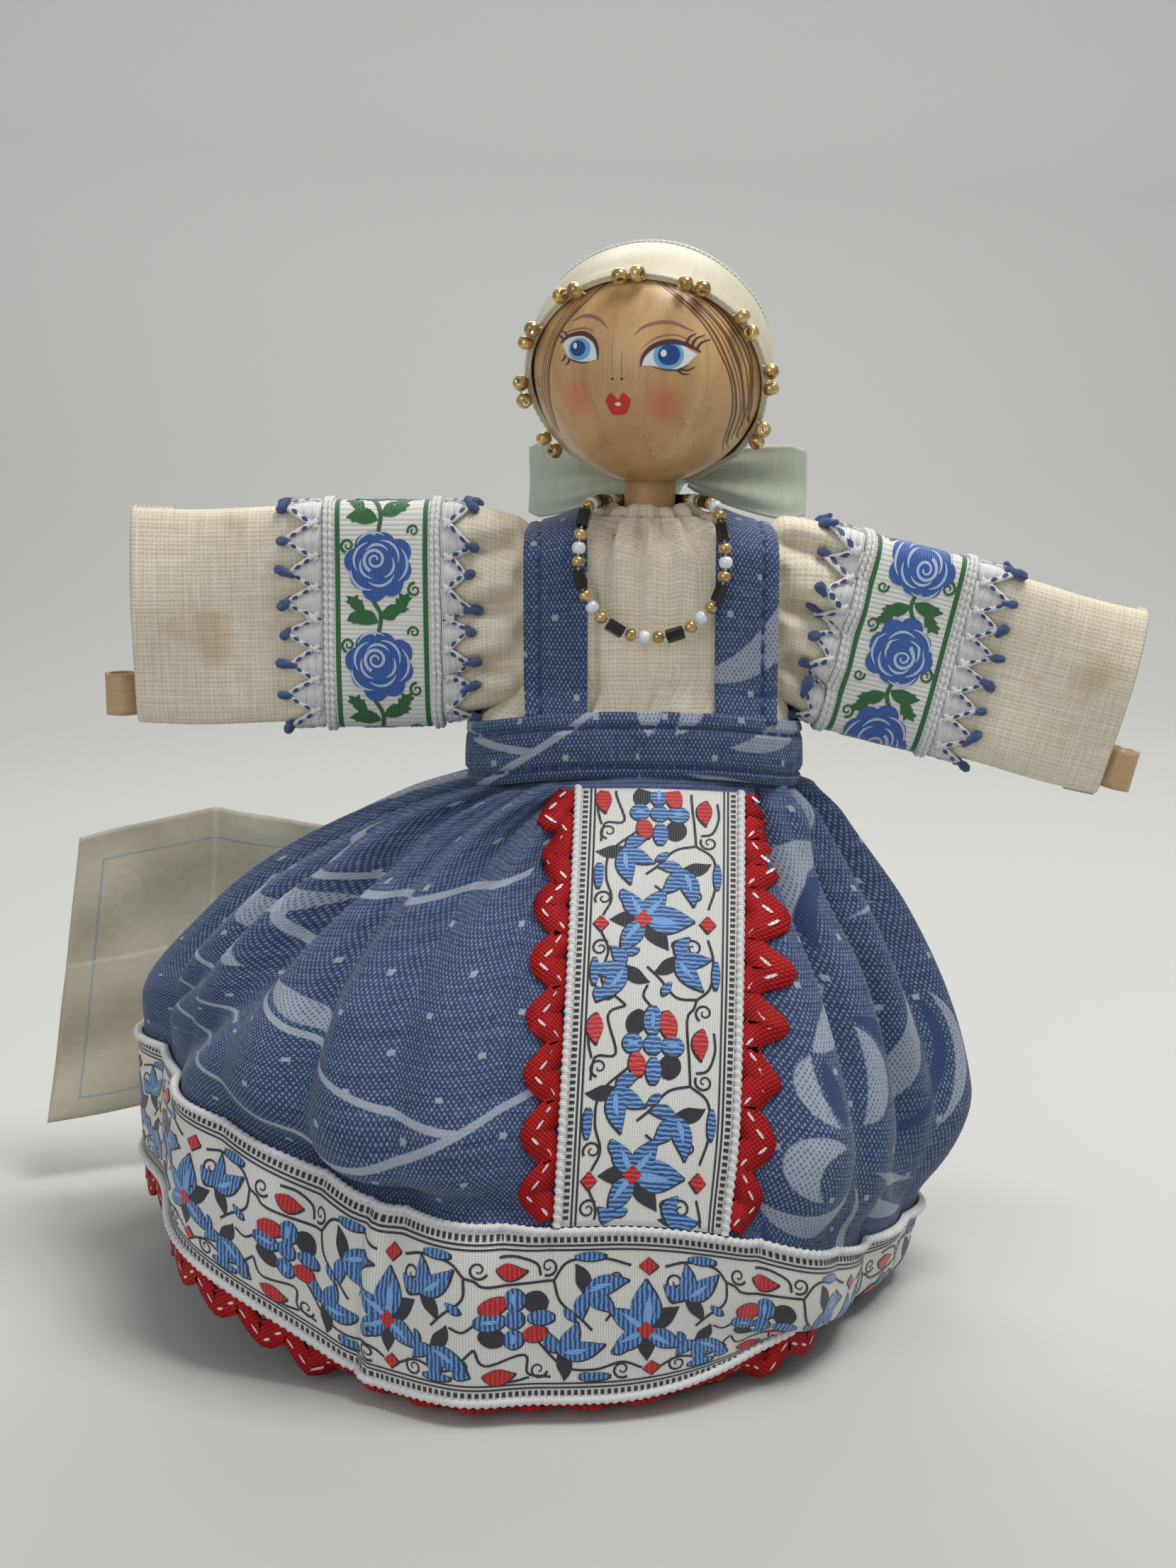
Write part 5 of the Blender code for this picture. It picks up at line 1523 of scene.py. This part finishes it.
bore = 4.55 * MM
angles = np.linspace(0.002, math.pi - math.asin(bore / RADIUS), 90)
profile = [(RADIUS * math.sin(a), RADIUS * math.cos(a)) for a in angles]
profile += [(bore, -17 * MM), (bore, -7.0 * MM), (0.01 * MM, -7.0 * MM)]
head_ball = lathe("painted_head", profile, 128, head_wood, [np.eye(4)])
head_ball.location = Vector(HEAD)
wear(head_ball, "head", "head_ball", slot="turned_wood")
post_profile = np.array([(0.01, 149.4), (3.4, 149.4), (4.25, 148.5), (4.25, 90), (4.25, 2.3),
                         (0.01, 2.3)]) * MM
post = lathe("neck_post", post_profile, 64, plain_wood, [np.eye(4)])
wear(post, "stand", "body_post", slot="turned_wood")
foot_profile = np.array([(0.01, 2), (4.55, 2), (4.55, 5.8), (4.8, 6), (30.8, 6), (31.7, 5.7), (32, 5),
                         (32, 0.4), (31.7, 0), (0.01, 0)]) * MM
foot = lathe("wooden_foot", foot_profile, 96, plain_wood, [np.eye(4)])
wear(foot, "stand", "foot_disc", slot="turned_wood")
print("head, post and foot turned")

# %% [markdown]
# The face's strokes use one flat place: straight in front of the face, in units of the ball's radius, with t
# downwards.

# %% The painted face


def on_face(s, t, lift):
    """s to the right and t down, in ball radii, as seen by someone who looks at the face."""
    return HEAD + face_point(s, -np.asarray(t)) * (RADIUS + lift)


def paint_colour(name, colour, roughness=0.35, spread=0.25):
    def paint(start):
        place = object_place(start)
        brush = noise(start, place, 900, 3.0)
        darker = tuple(c * (1 - spread) for c in colour)
        return brush.tint(darker, colour), brush, 0.01 * MM, {"Coat Weight": 0.2}
    return finish(name, roughness, paint)


eye_white = paint_colour("eye_white", (0.80, 0.82, 0.82), spread=0.08)
iris_blue = paint_colour("iris_blue", (0.17, 0.47, 0.76))
pupil_blue = paint_colour("pupil_blue", (0.016, 0.065, 0.29))
lash_brown = paint_colour("lash_brown", (0.085, 0.028, 0.045))
brow_brown = paint_colour("brow_brown", (0.30, 0.135, 0.11))
nose_brown = paint_colour("nose_brown", (0.40, 0.21, 0.10))
lip_red = paint_colour("lip_red", (0.66, 0.020, 0.018))
hair_brown = paint_colour("hair_brown", (0.20, 0.085, 0.034), 0.5)


def between(upper, lower, count=41):
    """Patch of paint between an upper and a lower outline that share their ends."""
    upper, lower = smooth_line(upper, 0.01), smooth_line(lower, 0.01)
    x = np.linspace(upper[0, 0], upper[-1, 0], count)
    top, low = np.interp(x, upper[:, 0], upper[:, 1]), np.interp(x, lower[:, 0], lower[:, 1])
    return np.stack([x, (top + low) / 2], axis=-1), np.clip((low - top) / 2, 0.002, None), True


def brush_line(points, width, taper=0.25):
    """Stroke that swells in its middle."""
    path = smooth_line(points, 0.02)
    return path, width / 2 * (taper + (1 - taper) * np.sin(np.pi * np.linspace(0, 1, len(path))))


def lash(first, last, bend=0.3):
    first, last = np.asarray(first), np.asarray(last)
    aside = np.array([last[1] - first[1], first[0] - last[0]]) * bend
    path = smooth_line([first, (first + last) / 2 + aside * 0.6, last], 0.02)
    return path, np.linspace(0.011, 0.003, len(path))


left_eye = dict(
    upper=[(-0.475, -0.169), (-0.415, -0.230), (-0.274, -0.255), (-0.168, -0.199), (-0.124, -0.063)],
    lower=[(-0.475, -0.169), (-0.404, -0.084), (-0.306, -0.046), (-0.215, -0.043), (-0.124, -0.063)])
right_eye = dict(
    upper=[(0.246, -0.012), (0.294, -0.106), (0.406, -0.181), (0.526, -0.184), (0.652, -0.101)],
    lower=[(0.246, -0.012), (0.359, -0.008), (0.499, 0.017), (0.582, -0.020), (0.652, -0.101)])
white = [between(**left_eye), between(**right_eye)]
iris = [disc((-0.300, -0.143), 0.108, squeeze=0.83), disc((0.450, -0.094), 0.112, squeeze=0.98)]
pupil = [disc((-0.314, -0.149), 0.074, squeeze=0.86), disc((0.454, -0.098), 0.082, squeeze=1.0)]
spark = [disc((-0.338, -0.168), 0.019, squeeze=1.3), disc((0.414, -0.110), 0.022, squeeze=1.3),
         disc((0.043, 0.297), 0.026, squeeze=0.6)]
left_lid = [(-0.500, -0.190), (-0.417, -0.245), (-0.275, -0.268), (-0.169, -0.217), (-0.129, -0.142),
            (-0.122, -0.058)]
right_lid = [(0.242, -0.005), (0.258, -0.087), (0.336, -0.167), (0.457, -0.203), (0.576, -0.180),
             (0.676, -0.120)]
lids = [brush_line(left_lid, 0.040), brush_line(right_lid, 0.042),
        brush_line([(-0.425, -0.070), (-0.306, -0.036), (-0.200, -0.036)], 0.012),
        brush_line([(0.330, 0.000), (0.430, 0.022), (0.520, 0.022), (0.600, -0.015)], 0.012),
        disc((0.007, 0.095), 0.011), disc((0.087, 0.095), 0.011)]
lids += [lash((0.575, -0.190), (0.636, -0.268)), lash((0.612, -0.168), (0.695, -0.256)),
         lash((0.645, -0.140), (0.735, -0.220)), lash((0.530, 0.014), (0.640, -0.001), -0.3),
         lash((0.520, 0.022), (0.600, 0.060), -0.3), lash((-0.430, -0.238), (-0.506, -0.285), -0.3),
         lash((-0.468, -0.212), (-0.549, -0.247), -0.3), lash((-0.441, -0.090), (-0.486, -0.043)),
         lash((-0.395, -0.062), (-0.440, -0.012))]
brows = [brush_line([(-0.399, -0.369), (-0.275, -0.412), (-0.147, -0.387), (-0.047, -0.308)], 0.028, 0.15),
         brush_line([(0.173, -0.255), (0.268, -0.331), (0.441, -0.359), (0.615, -0.287)], 0.030, 0.15),
         brush_line([(-0.469, -0.262), (-0.397, -0.292), (-0.257, -0.312), (-0.164, -0.280)], 0.012, 0.1),
         brush_line([(0.246, -0.152), (0.350, -0.232), (0.487, -0.258), (0.631, -0.200)], 0.012, 0.1)]
nose = [brush_line([(0.002, -0.200), (0.004, -0.06), (0.007, 0.070)], 0.012),
        brush_line([(0.088, -0.150), (0.084, -0.04), (0.087, 0.080)], 0.012)]
lips = [between([(-0.067, 0.275), (-0.045, 0.240), (-0.015, 0.210), (0.018, 0.236), (0.045, 0.266),
                 (0.066, 0.232), (0.092, 0.208), (0.128, 0.232), (0.153, 0.264)],
                [(-0.067, 0.275), (-0.045, 0.338), (-0.020, 0.380), (0.036, 0.392), (0.096, 0.380),
                 (0.128, 0.336), (0.153, 0.264)])]
for label, lines, material, lift in (("white", white, eye_white, 0.03), ("iris", iris, iris_blue, 0.05),
                                     ("pupil", pupil, pupil_blue, 0.07), ("lids", lids, lash_brown, 0.08),
                                     ("brows", brows, brow_brown, 0.03), ("nose", nose, nose_brown, 0.02),
                                     ("lips", lips, lip_red, 0.04), ("spark", spark, eye_white, 0.15)):
    strokes("face_" + label, lines, on_face, lift * MM, material, "head")
print("eyes, brows and lips painted")

# %% Hair drawn on the wood

inner_lock = np.array([(0.250, -0.705), (0.479, -0.538), (0.670, -0.349), (0.794, -0.123), (0.865, 0.126),
                       (0.838, 0.400), (0.700, 0.700)])
middle_lock = np.array([(0.360, -0.690), (0.623, -0.491), (0.803, -0.274), (0.899, -0.026), (0.919, 0.200),
                        (0.890, 0.400), (0.800, 0.585)])
outer_lock = np.array([(0.500, -0.680), (0.783, -0.445), (0.928, -0.216), (0.975, -0.05), (0.980, 0.090),
                       (0.962, 0.240), (0.920, 0.400)])
left_lock = np.array([(-0.117, -0.696), (-0.300, -0.521), (-0.461, -0.360), (-0.569, -0.178), (-0.634, 0.054),
                      (-0.650, 0.288), (-0.625, 0.548)])
left_edge = np.array([(-0.200, -0.705), (-0.400, -0.541), (-0.575, -0.331), (-0.672, -0.120), (-0.730, 0.094),
                      (-0.735, 0.290), (-0.690, 0.500)])
hair_lines = []
for share in np.linspace(0, 2, 15):
    lock = inner_lock + (middle_lock - inner_lock) * min(share, 1)
    lock = lock + (outer_lock - middle_lock) * max(share - 1, 0)
    path = smooth_line(lock + np.array([0.012 * math.sin(share * 9), 0]), 0.03)
    width = 0.0052 if share in (0, 1, 2) else 0.0026
    hair_lines.append((path, width * (0.45 + 0.55 * np.sin(np.pi * np.linspace(0.1, 1, len(path))))))
for share in (0, 0.3, 0.65, 1):
    path = smooth_line(left_lock + (left_edge - left_lock) * share, 0.03)
    width = 0.011 if share == 0 else 0.0035
    hair_lines.append((path, width * (0.5 + 0.5 * np.sin(np.pi * np.linspace(0, 1, len(path))))))
strokes("hair_lines", hair_lines, on_face, 0.03 * MM, hair_brown, "head")
print("hair lines:", len(hair_lines))

# %% [markdown]
# ## Headscarf and bow
# A satin scarf covers the back of the head. Its edge is turned in, and at the nape it is tied in a bow.
# Folds run along the cloth towards the knot. Pairs of gold seed beads are sewn along the edge.

# %% Headscarf

SCARF_EDGE, SCARF_TILT, SCARF_TURN = math.radians(99.5), math.radians(26.5), math.radians(-10)
scarf_frame = np.array(Matrix.Rotation(SCARF_TURN, 3, "Z")
                       @ Matrix.Rotation(-(math.pi / 2 - SCARF_TILT), 3, "X"))


def scarf_edge(angle):
    """The edge comes furthest forward over the forehead."""
    return SCARF_EDGE + np.radians(6.0 + 4.5 * np.cos(angle))


def scarf(angle, share):
    """Cap round an axis that points back and up; angle 0 is over the forehead, folds run to the nape."""
    polar = share * scarf_edge(angle)
    nape = bump(np.remainder(angle, TURN), np.pi, 0.8) * ease(0.25, 0.8, share)
    fold = 0.30 * np.cos(16 * angle) * nape + 0.12 * np.cos(5 * angle + 4 * polar) * ease(0.1, 0.5, share)
    edge_roll = 0.25 * bump(share, 0.97, 0.03) - 0.35 * ease(0.985, 1.0, share)
    radius = RADIUS + (0.85 + fold + edge_roll) * MM
    ring = np.sin(polar)
    local = np.stack([ring * np.sin(angle), -ring * np.cos(angle), np.cos(polar)], axis=-1)
    local = local * radius[..., None]
    return HEAD + local @ scarf_frame.T


head_cloth = cloth("satin_headscarf", scarf, around(200), np.linspace(0.0015, 1, 70), (19 * MM, 33 * MM),
                   satin, 0.0, 0.45 * MM, True)
wear(head_cloth, "head", "head_scarf", slot="cream_satin")
rim = scarf(around(360), np.full(360, 0.985))
seam_turn = np.linspace(-0.9, 2.3, 240)
seam = raised(scarf, seam_turn, 0.66 + 0.03 * np.cos(seam_turn), 0.05 * MM)
tubes("scarf_selvedge", [rim], 0.34 * MM, satin, "head", ripple=0.2, closed=True)
tubes("scarf_picot", [seam], 0.26 * MM, thread_white, "head", ripple=0.5, pitch=0.9 * MM)
print("scarf faces:", len(head_cloth.data.polygons))

# %% Bow at the nape

nape_turn = np.array(Matrix.Rotation(SCARF_TURN, 3, "Z"))
knot_reach = RADIUS + 5.9 * MM
KNOT = np.array([0, knot_reach * math.sin(math.radians(137)), knot_reach * math.cos(math.radians(137))])


def to_head(local):
    return HEAD + local @ nape_turn.T


def knot(angle, polar):
    pleat = 1 + 0.07 * np.cos(7 * angle + 2 * polar) * np.sin(polar)
    local = np.stack([np.sin(polar) * np.sin(angle), np.cos(polar), -np.sin(polar) * np.cos(angle)], axis=-1)
    return to_head(KNOT + local * 4.4 * MM * pleat[..., None] * np.array([1.0, 1.05, 1.0]))


satin_knot = cloth("satin_knot", knot, around(64), np.linspace(3.13, 0.01, 36), (4.4 * MM, 4.4 * MM),
                   bow_satin_painted_shade, thickness=0, wrap=True)
wear(satin_knot, "head", "scarf_knot", slot="cream_satin")
for side, name in ((1, "left"), (-1, "right")):
    def loop(share, across):
        out = np.sin(np.pi * share)
        reach = (4.0 + (24.3 - 4.0) * out) * MM
        spread = -np.cos(np.pi * share) * 0.8
        back = (2.4 * out - 3.3 * np.sin(2 * np.pi * share) + spread) * MM
        pinch = np.exp(-(reach - 4 * MM) / (9 * MM))
        back = back + 1.2 * MM * pinch * np.cos(7 * across + 2 * share)
        back = back + 0.8 * MM * out * np.cos(2.2 * across + 0.6)
        height = (4.6 + (13.0 - 4.6) * out ** 0.6) / 2 * MM * (1 - 0.14 * ease(0.86, 1.0, out))
        droop = 2.4 * MM * out + 0.9 * MM * np.sin(2.4 * across + 3 * share) * out
        return to_head(KNOT + np.stack([side * reach, back, -across * height - droop], axis=-1))

    bow_loop = cloth("satin_loop_" + name, loop, np.linspace(0.002, 0.998, 90), np.linspace(-1, 1, 22),
                     (0.045, 6.2 * MM), bow_satin_painted_shade, 0.15 * MM, 0.3 * MM)
    wear(bow_loop, "head", "bow_loop_" + name, slot="cream_satin")

    def tail(across, share):
        root = 5.2 * MM
        x = side * (root * math.sin(math.radians(25)) + 5 * MM * share)
        x = x + across * 4.6 * MM * (0.45 + 0.55 * share)
        y = KNOT[1] + 2.5 * MM * np.sin(np.pi / 2 * np.clip(share * 2, 0, 1))
        y = y + 0.6 * MM * np.cos(5 * across + 3 * share)
        z = KNOT[2] - root * math.cos(math.radians(25)) - share * (17 + 2.5 * across) * MM
        return to_head(np.stack([x, y, z], axis=-1))

    bow_tail = cloth("satin_tail_" + name, tail, np.linspace(-0.95, 0.95, 16), np.linspace(0, 1, 40),
                     (4.5 * MM, 17 * MM), bow_satin_painted_shade, 0.15 * MM, 0.3 * MM)
    wear(bow_tail, "head", "bow_tail_" + name, slot="cream_satin")
print("bow ready")

# %% [markdown]
# ## Beads
# A seed bead is a short, round-edged tube of glass with a thread hole. The gold ones are lined, so they
# shine like metal inside clear glass: a metallic colour under a clear coat. The necklace repeats a pearl
# bead, a gold one, a dark faceted bugle and a gold one along its thread.

# %% Bead finishes


def bead_paint(dark, bright, metallic, coat=1.0):
    def paint(start):
        place = object_place(start)
        cloud = noise(start, place, 420, 2.0)
        shine = {"Metallic": metallic, "Coat Weight": coat, "Coat Roughness": 0.05}
        return cloud.rise(0.3, 0.7).tint(dark, bright), None, 0, shine
    return paint


gold_bead = finish("gold_lined_bead", 0.22, bead_paint((0.36, 0.21, 0.045), (0.80, 0.58, 0.22), 0.7))
pearl_bead = finish("pearl_bead", 0.25, bead_paint((0.62, 0.66, 0.72), (0.80, 0.83, 0.88), 0.0))
dark_bead = finish("dark_bugle", 0.12, bead_paint((0.003, 0.002, 0.002), (0.012, 0.008, 0.006), 0.0, 0.15))


def seed(radius, length, hole):
    """Profile of a seed bead, round the outside and back through the hole."""
    arc = np.linspace(-np.pi / 2, np.pi / 2, 9)
    outside = [(radius - 0.35 * length * (1 - math.cos(a)), length / 2 * math.sin(a)) for a in arc]
    return [(hole, -length * 0.42)] + outside + [(hole, length * 0.42), (hole, -length * 0.42)]


def bead_frame(middle, way, roll=0.0):
    turn = Vector(way).to_track_quat("Z", "Y").to_matrix() @ Matrix.Rotation(roll, 3, "Z")
    return Matrix.Translation(middle) @ turn.to_4x4()


print("bead finishes ready")

# %% Beads on the scarf's edge

frames, loops = [], []
seat = RADIUS + 2.3 * MM
for index in range(9):
    turn = math.radians(-125 + 30.4 * index)
    spin = Matrix.Rotation(SCARF_TURN, 4, "Z") @ Matrix.Rotation(-(math.pi / 2 - SCARF_TILT), 4, "X")
    spin = spin @ Matrix.Rotation(math.pi + turn, 4, "Z")
    lean = Matrix.Rotation(-(scarf_edge(turn) + math.radians(2)), 4, "X")
    place = Matrix.Translation(Vector(HEAD)) @ spin @ lean
    pair = []
    for side in (-1, 1):
        tilt = 0.35 * side * math.cos(index * 2.1)
        spot = place @ Matrix.Translation((side * 1.42 * MM, 0.4 * MM * math.sin(index * 1.7) * side, seat))
        frames.append(spot @ Matrix.Rotation(math.pi / 2 + tilt, 4, "Y")
                      @ Matrix.Rotation(0.5 * side + index, 4, "X"))
        pair.append(np.array(spot.translation))
    down = np.array((place @ Matrix.Translation((0, 0, seat - 1.6 * MM))).translation)
    loops.append(smooth_line([down - (pair[1] - pair[0]) * 0.8, pair[0], pair[1],
                              down + (pair[1] - pair[0]) * 0.8], 0.2 * MM))
scarf_beads = lathe("scarf_gold_beads", seed(1.35 * MM, 2.0 * MM, 0.45 * MM), 20, gold_bead, frames)
wear(scarf_beads, "head", *["scarf_bead_pair_%d" % number for number in range(1, 10)], slot="gold_glass")
tubes("scarf_bead_threads", loops, 0.16 * MM, thread_white, "head", sides=6)
print("scarf beads:", len(frames))

# %% Necklace

nape, rest_z, chest, collar_edge = 5.7 * MM, 134.37 * MM, 15.65 * MM, 12.94 * MM
low = CREST - 19 * MM
half_route = np.array([(0, nape, rest_z), (nape * 0.9, nape * 0.45, rest_z),
                       (11.9 * MM * 0.72, -collar_edge * 0.42, rest_z + 0.3 * MM),
                       (11.9 * MM * 0.9, -collar_edge * 0.98, rest_z - 0.8 * MM),
                       (11.9 * MM, -chest, rest_z + (low - rest_z) * 0.42),
                       (11.9 * MM * 0.86, -chest, rest_z + (low - rest_z) * 0.72),
                       (11.9 * MM * 0.46, -chest, rest_z + (low - rest_z) * 0.94), (0, -chest, low)])
other_half = half_route[1:-1][::-1] * np.array([-1, 1, 1])
ring = np.vstack([half_route, other_half, half_route[:1]])
wrapped = np.vstack([ring[-3:-1], ring, ring[1:3]])
thread = smooth_line(wrapped, 0.3 * MM)
first = np.argmin(np.linalg.norm(thread - ring[0], axis=-1)[:60])
last = len(thread) - 60 + np.argmin(np.linalg.norm(thread[-60:] - ring[0], axis=-1))
thread = thread[first:last]
closed_thread = np.vstack([thread, thread[:1]])
run = arc_table(closed_thread)
repeat = 2.15 + 1.95 + 3.15 + 1.95
repeats = max(1, int(run[-1] / (repeat * MM)))
grow = run[-1] / (repeats * repeat * MM)


def at(s):
    return np.array([np.interp(np.mod(s, run[-1]), run, closed_thread[:, axis]) for axis in range(3)])


groups = {"pearl": [], "gold": [], "bugle": []}
s = 0.0
for number in range(repeats):
    for kind, size in (("pearl", 2.15), ("gold", 1.95), ("bugle", 3.15), ("gold", 1.95)):
        middle = s + size * grow * MM / 2
        way = at(middle + 0.6 * MM) - at(middle - 0.6 * MM)
        groups[kind].append(bead_frame(at(middle), way, number * 0.7))
        s += size * grow * MM
pearls = lathe("necklace_pearl_beads", seed(1.15 * MM, 1.95 * MM, 0.3 * MM), 18, pearl_bead, groups["pearl"])
wear(pearls, "necklace", "necklace", slot="necklace_glass")
golds = lathe("necklace_gold_beads", seed(1.1 * MM, 1.75 * MM, 0.3 * MM), 18, gold_bead, groups["gold"])
wear(golds, "necklace")
bugle_profile = np.array([(0.3, -1.5), (0.95, -1.5), (1.12, -1.35), (1.12, 1.35), (0.95, 1.5), (0.3, 1.5),
                          (0.3, -1.5)]) * MM
bugles = lathe("necklace_bugles", bugle_profile, 6, dark_bead, groups["bugle"], facets=True)
wear(bugles, "necklace")
tubes("necklace_thread", [thread], 0.2 * MM, thread_white, "necklace", sides=6, closed=True)
print("necklace beads:", sum(len(group) for group in groups.values()), "on", round(run[-1] / MM),
      "mm of thread")

# %% [markdown]
# ## Paper tag
# An aged paper tag stands out behind the skirt, creased down its middle and across. Its face is bare apart
# from a thin ruled frame.

# %% Paper


def paper_paint(start):
    place, u, v = flat_place(start)
    fibre = noise(start, place, 500, 5.0)
    age = noise(start, place, 40, 4.0)
    colour = fibre.tint((0.46, 0.42, 0.33), (0.60, 0.56, 0.46))
    colour = (age.rise(0.4, 0.7) * 0.45).tint(colour, (0.40, 0.34, 0.24))
    aside, above = abs(u - 31 * MM), abs(v - 30 * MM)
    frame_line = 1 - abs(aside - 22 * MM).least(abs(above - 24 * MM)).rise(0.12 * MM, 0.3 * MM)
    inside = (1 - aside.rise(22.2 * MM, 22.4 * MM)) * (1 - above.rise(24.2 * MM, 24.4 * MM))
    colour = (frame_line * inside * 0.55).tint(colour, (0.22, 0.27, 0.38))
    crease = abs(u - 32 * MM).least(abs(v - 26.7 * MM)).rise(0.0, 0.9 * MM)
    colour = ((1 - crease) * 0.3).tint(colour, (0.74, 0.72, 0.66))
    return colour, fibre + crease * 0.5, 0.12 * MM, {}


aged_paper = finish("aged_paper", 0.85, paper_paint)
TAG_SEAT = np.array([-50, 52.83, 72.5]) * MM


def tag(across, down):
    """across runs away from the skirt, down runs to the tag's foot, both in metres."""
    reach, fall = across / (58 * MM), down / (58 * MM)
    beside_crease = np.sqrt((reach - 0.55) ** 2 + 0.0012)
    bend = 3 * MM * (beside_crease - 0.55 + np.sqrt((fall - 0.46) ** 2 + 0.0008) * ease(0, 0.3, reach))
    curl_up = 4.5 * MM * ease(0.7, 1.0, reach) * ease(0.72, 1.0, fall) ** 1.5
    x = -across - 8 * MM * reach * fall
    ripple = 0.9 * np.sin(9 * reach + 5 * fall) + 0.45 * np.sin(17 * fall - 6 * reach)
    ripple = ripple + 0.3 * np.sin(23 * reach + 11 * fall)
    y = -bend - curl_up + ripple * MM * ease(0.1, 0.4, reach)
    turn = math.radians(7)
    z = -down - 12 * MM * np.abs(reach - 0.55) * (1 - fall / 2)
    return TAG_SEAT + np.stack([x * math.cos(turn) - y * math.sin(turn),
                                x * math.sin(turn) + y * math.cos(turn), z], axis=-1)


paper = cloth("paper_label", tag, np.linspace(0, 58, 60) * MM, np.linspace(0, 58, 60) * MM, (1.0, 1.0),
              aged_paper, 0.15 * MM, 0.3 * MM)
wear(paper, "tag", "paper_tag", slot="aged_paper")
print("tag ready")

# %% [markdown]
# ## Stage, light and camera
# The photograph's setting is a pale sweep with soft light from above and behind. The sweep is one curved
# sheet. The camera stands 0.40 m away and looks down by eleven degrees.

# %% Stage


def sweep_painted_light(start):
    place = object_place(start)
    grain = noise(start, place, 6, 2.0)
    along = start.make("ShaderNodeSeparateXYZ", {}, {0: place}, 1)
    up = start.make("ShaderNodeSeparateXYZ", {}, {0: place}, 2)
    # Painted light: the floor is painted darker towards the camera and lighter further back, and the backdrop
    # lighter still as it rises, for the fall of the studio light; the grain is a faint random mottle.
    colour = (along.rise(-0.30, 0.10) * 0.9 + grain * 0.1).tint((0.45, 0.455, 0.435), (0.65, 0.655, 0.625))
    return up.rise(0.0, 0.32).tint(colour, (0.93, 0.935, 0.90)), None, 0, {}


sweep_painted_light_finish = finish("pale_sweep", 0.9, sweep_painted_light)


FLAT_END, BEND_LENGTH, BEND_RADIUS = 0.55, 0.9, 0.573


def sweep(across, along):
    bend = np.clip((along - FLAT_END) / BEND_LENGTH, 0, 1) * (np.pi / 2)
    y = np.where(along < FLAT_END, along, FLAT_END + BEND_RADIUS * np.sin(bend))
    z = np.where(along < FLAT_END, 0, BEND_RADIUS * (1 - np.cos(bend)))
    z = z + np.clip(along - FLAT_END - BEND_LENGTH, 0, None)
    return np.stack([across, y, z], axis=-1)


floor = cloth("pale_sweep", sweep, np.linspace(-2.5, 2.5, 11), np.linspace(3.2, -1.6, 90), (1.0, 1.0),
              sweep_painted_light_finish, thickness=0)
print("stage ready")

# %% Light and camera

scene = bpy.context.scene
scene.view_settings.view_transform = "Standard"
world = bpy.data.worlds.new("soft_room")
scene.world = world
world.use_nodes = True
world.node_tree.nodes["Background"].inputs["Color"].default_value = (0.95, 0.97, 1.0, 1)
world.node_tree.nodes["Background"].inputs["Strength"].default_value = 0.34


def area_light(name, place, target, size, power, colour=(1, 1, 1)):
    lamp = bpy.data.lights.new(name, "AREA")
    lamp.shape = "RECTANGLE"
    lamp.size, lamp.size_y = size
    lamp.energy, lamp.color = power, colour
    item = bpy.data.objects.new(name, lamp)
    scene.collection.objects.link(item)
    item.location = place
    item.rotation_euler = (Vector(target) - Vector(place)).to_track_quat("-Z", "Y").to_euler()
    return item


area_light("top_light", (0.22, -0.10, 0.80), (0, 0, 0.08), (0.34, 0.34), 4.1, (1.0, 0.99, 0.96))
area_light("back_light", (0.05, 0.55, 0.70), (0, 0, 0.12), (0.6, 0.4), 2.4, (1.0, 0.99, 0.97))
area_light("front_fill", (-0.45, -0.80, 0.40), (0, 0, 0.09), (0.6, 0.6), 1.6, (0.98, 0.99, 1.0))

PHOTO_HEIGHT, FOCAL_LENGTH = 2212, 3305
camera = bpy.data.cameras.new("camera")
camera.sensor_fit = "VERTICAL"
camera.sensor_height = 36
camera.lens = 36 * FOCAL_LENGTH / PHOTO_HEIGHT
camera.clip_start = 0.01
eye = bpy.data.objects.new("camera", camera)
scene.collection.objects.link(eye)
eye.location = Vector((-10.3, -392.7, 162.6)) * MM
eye.rotation_euler = (Vector((-10.3, 0, 86.3)) * MM - eye.location).to_track_quat("-Z", "Y").to_euler()
scene.camera = eye
print("camera at", [round(c / MM, 1) for c in eye.location])
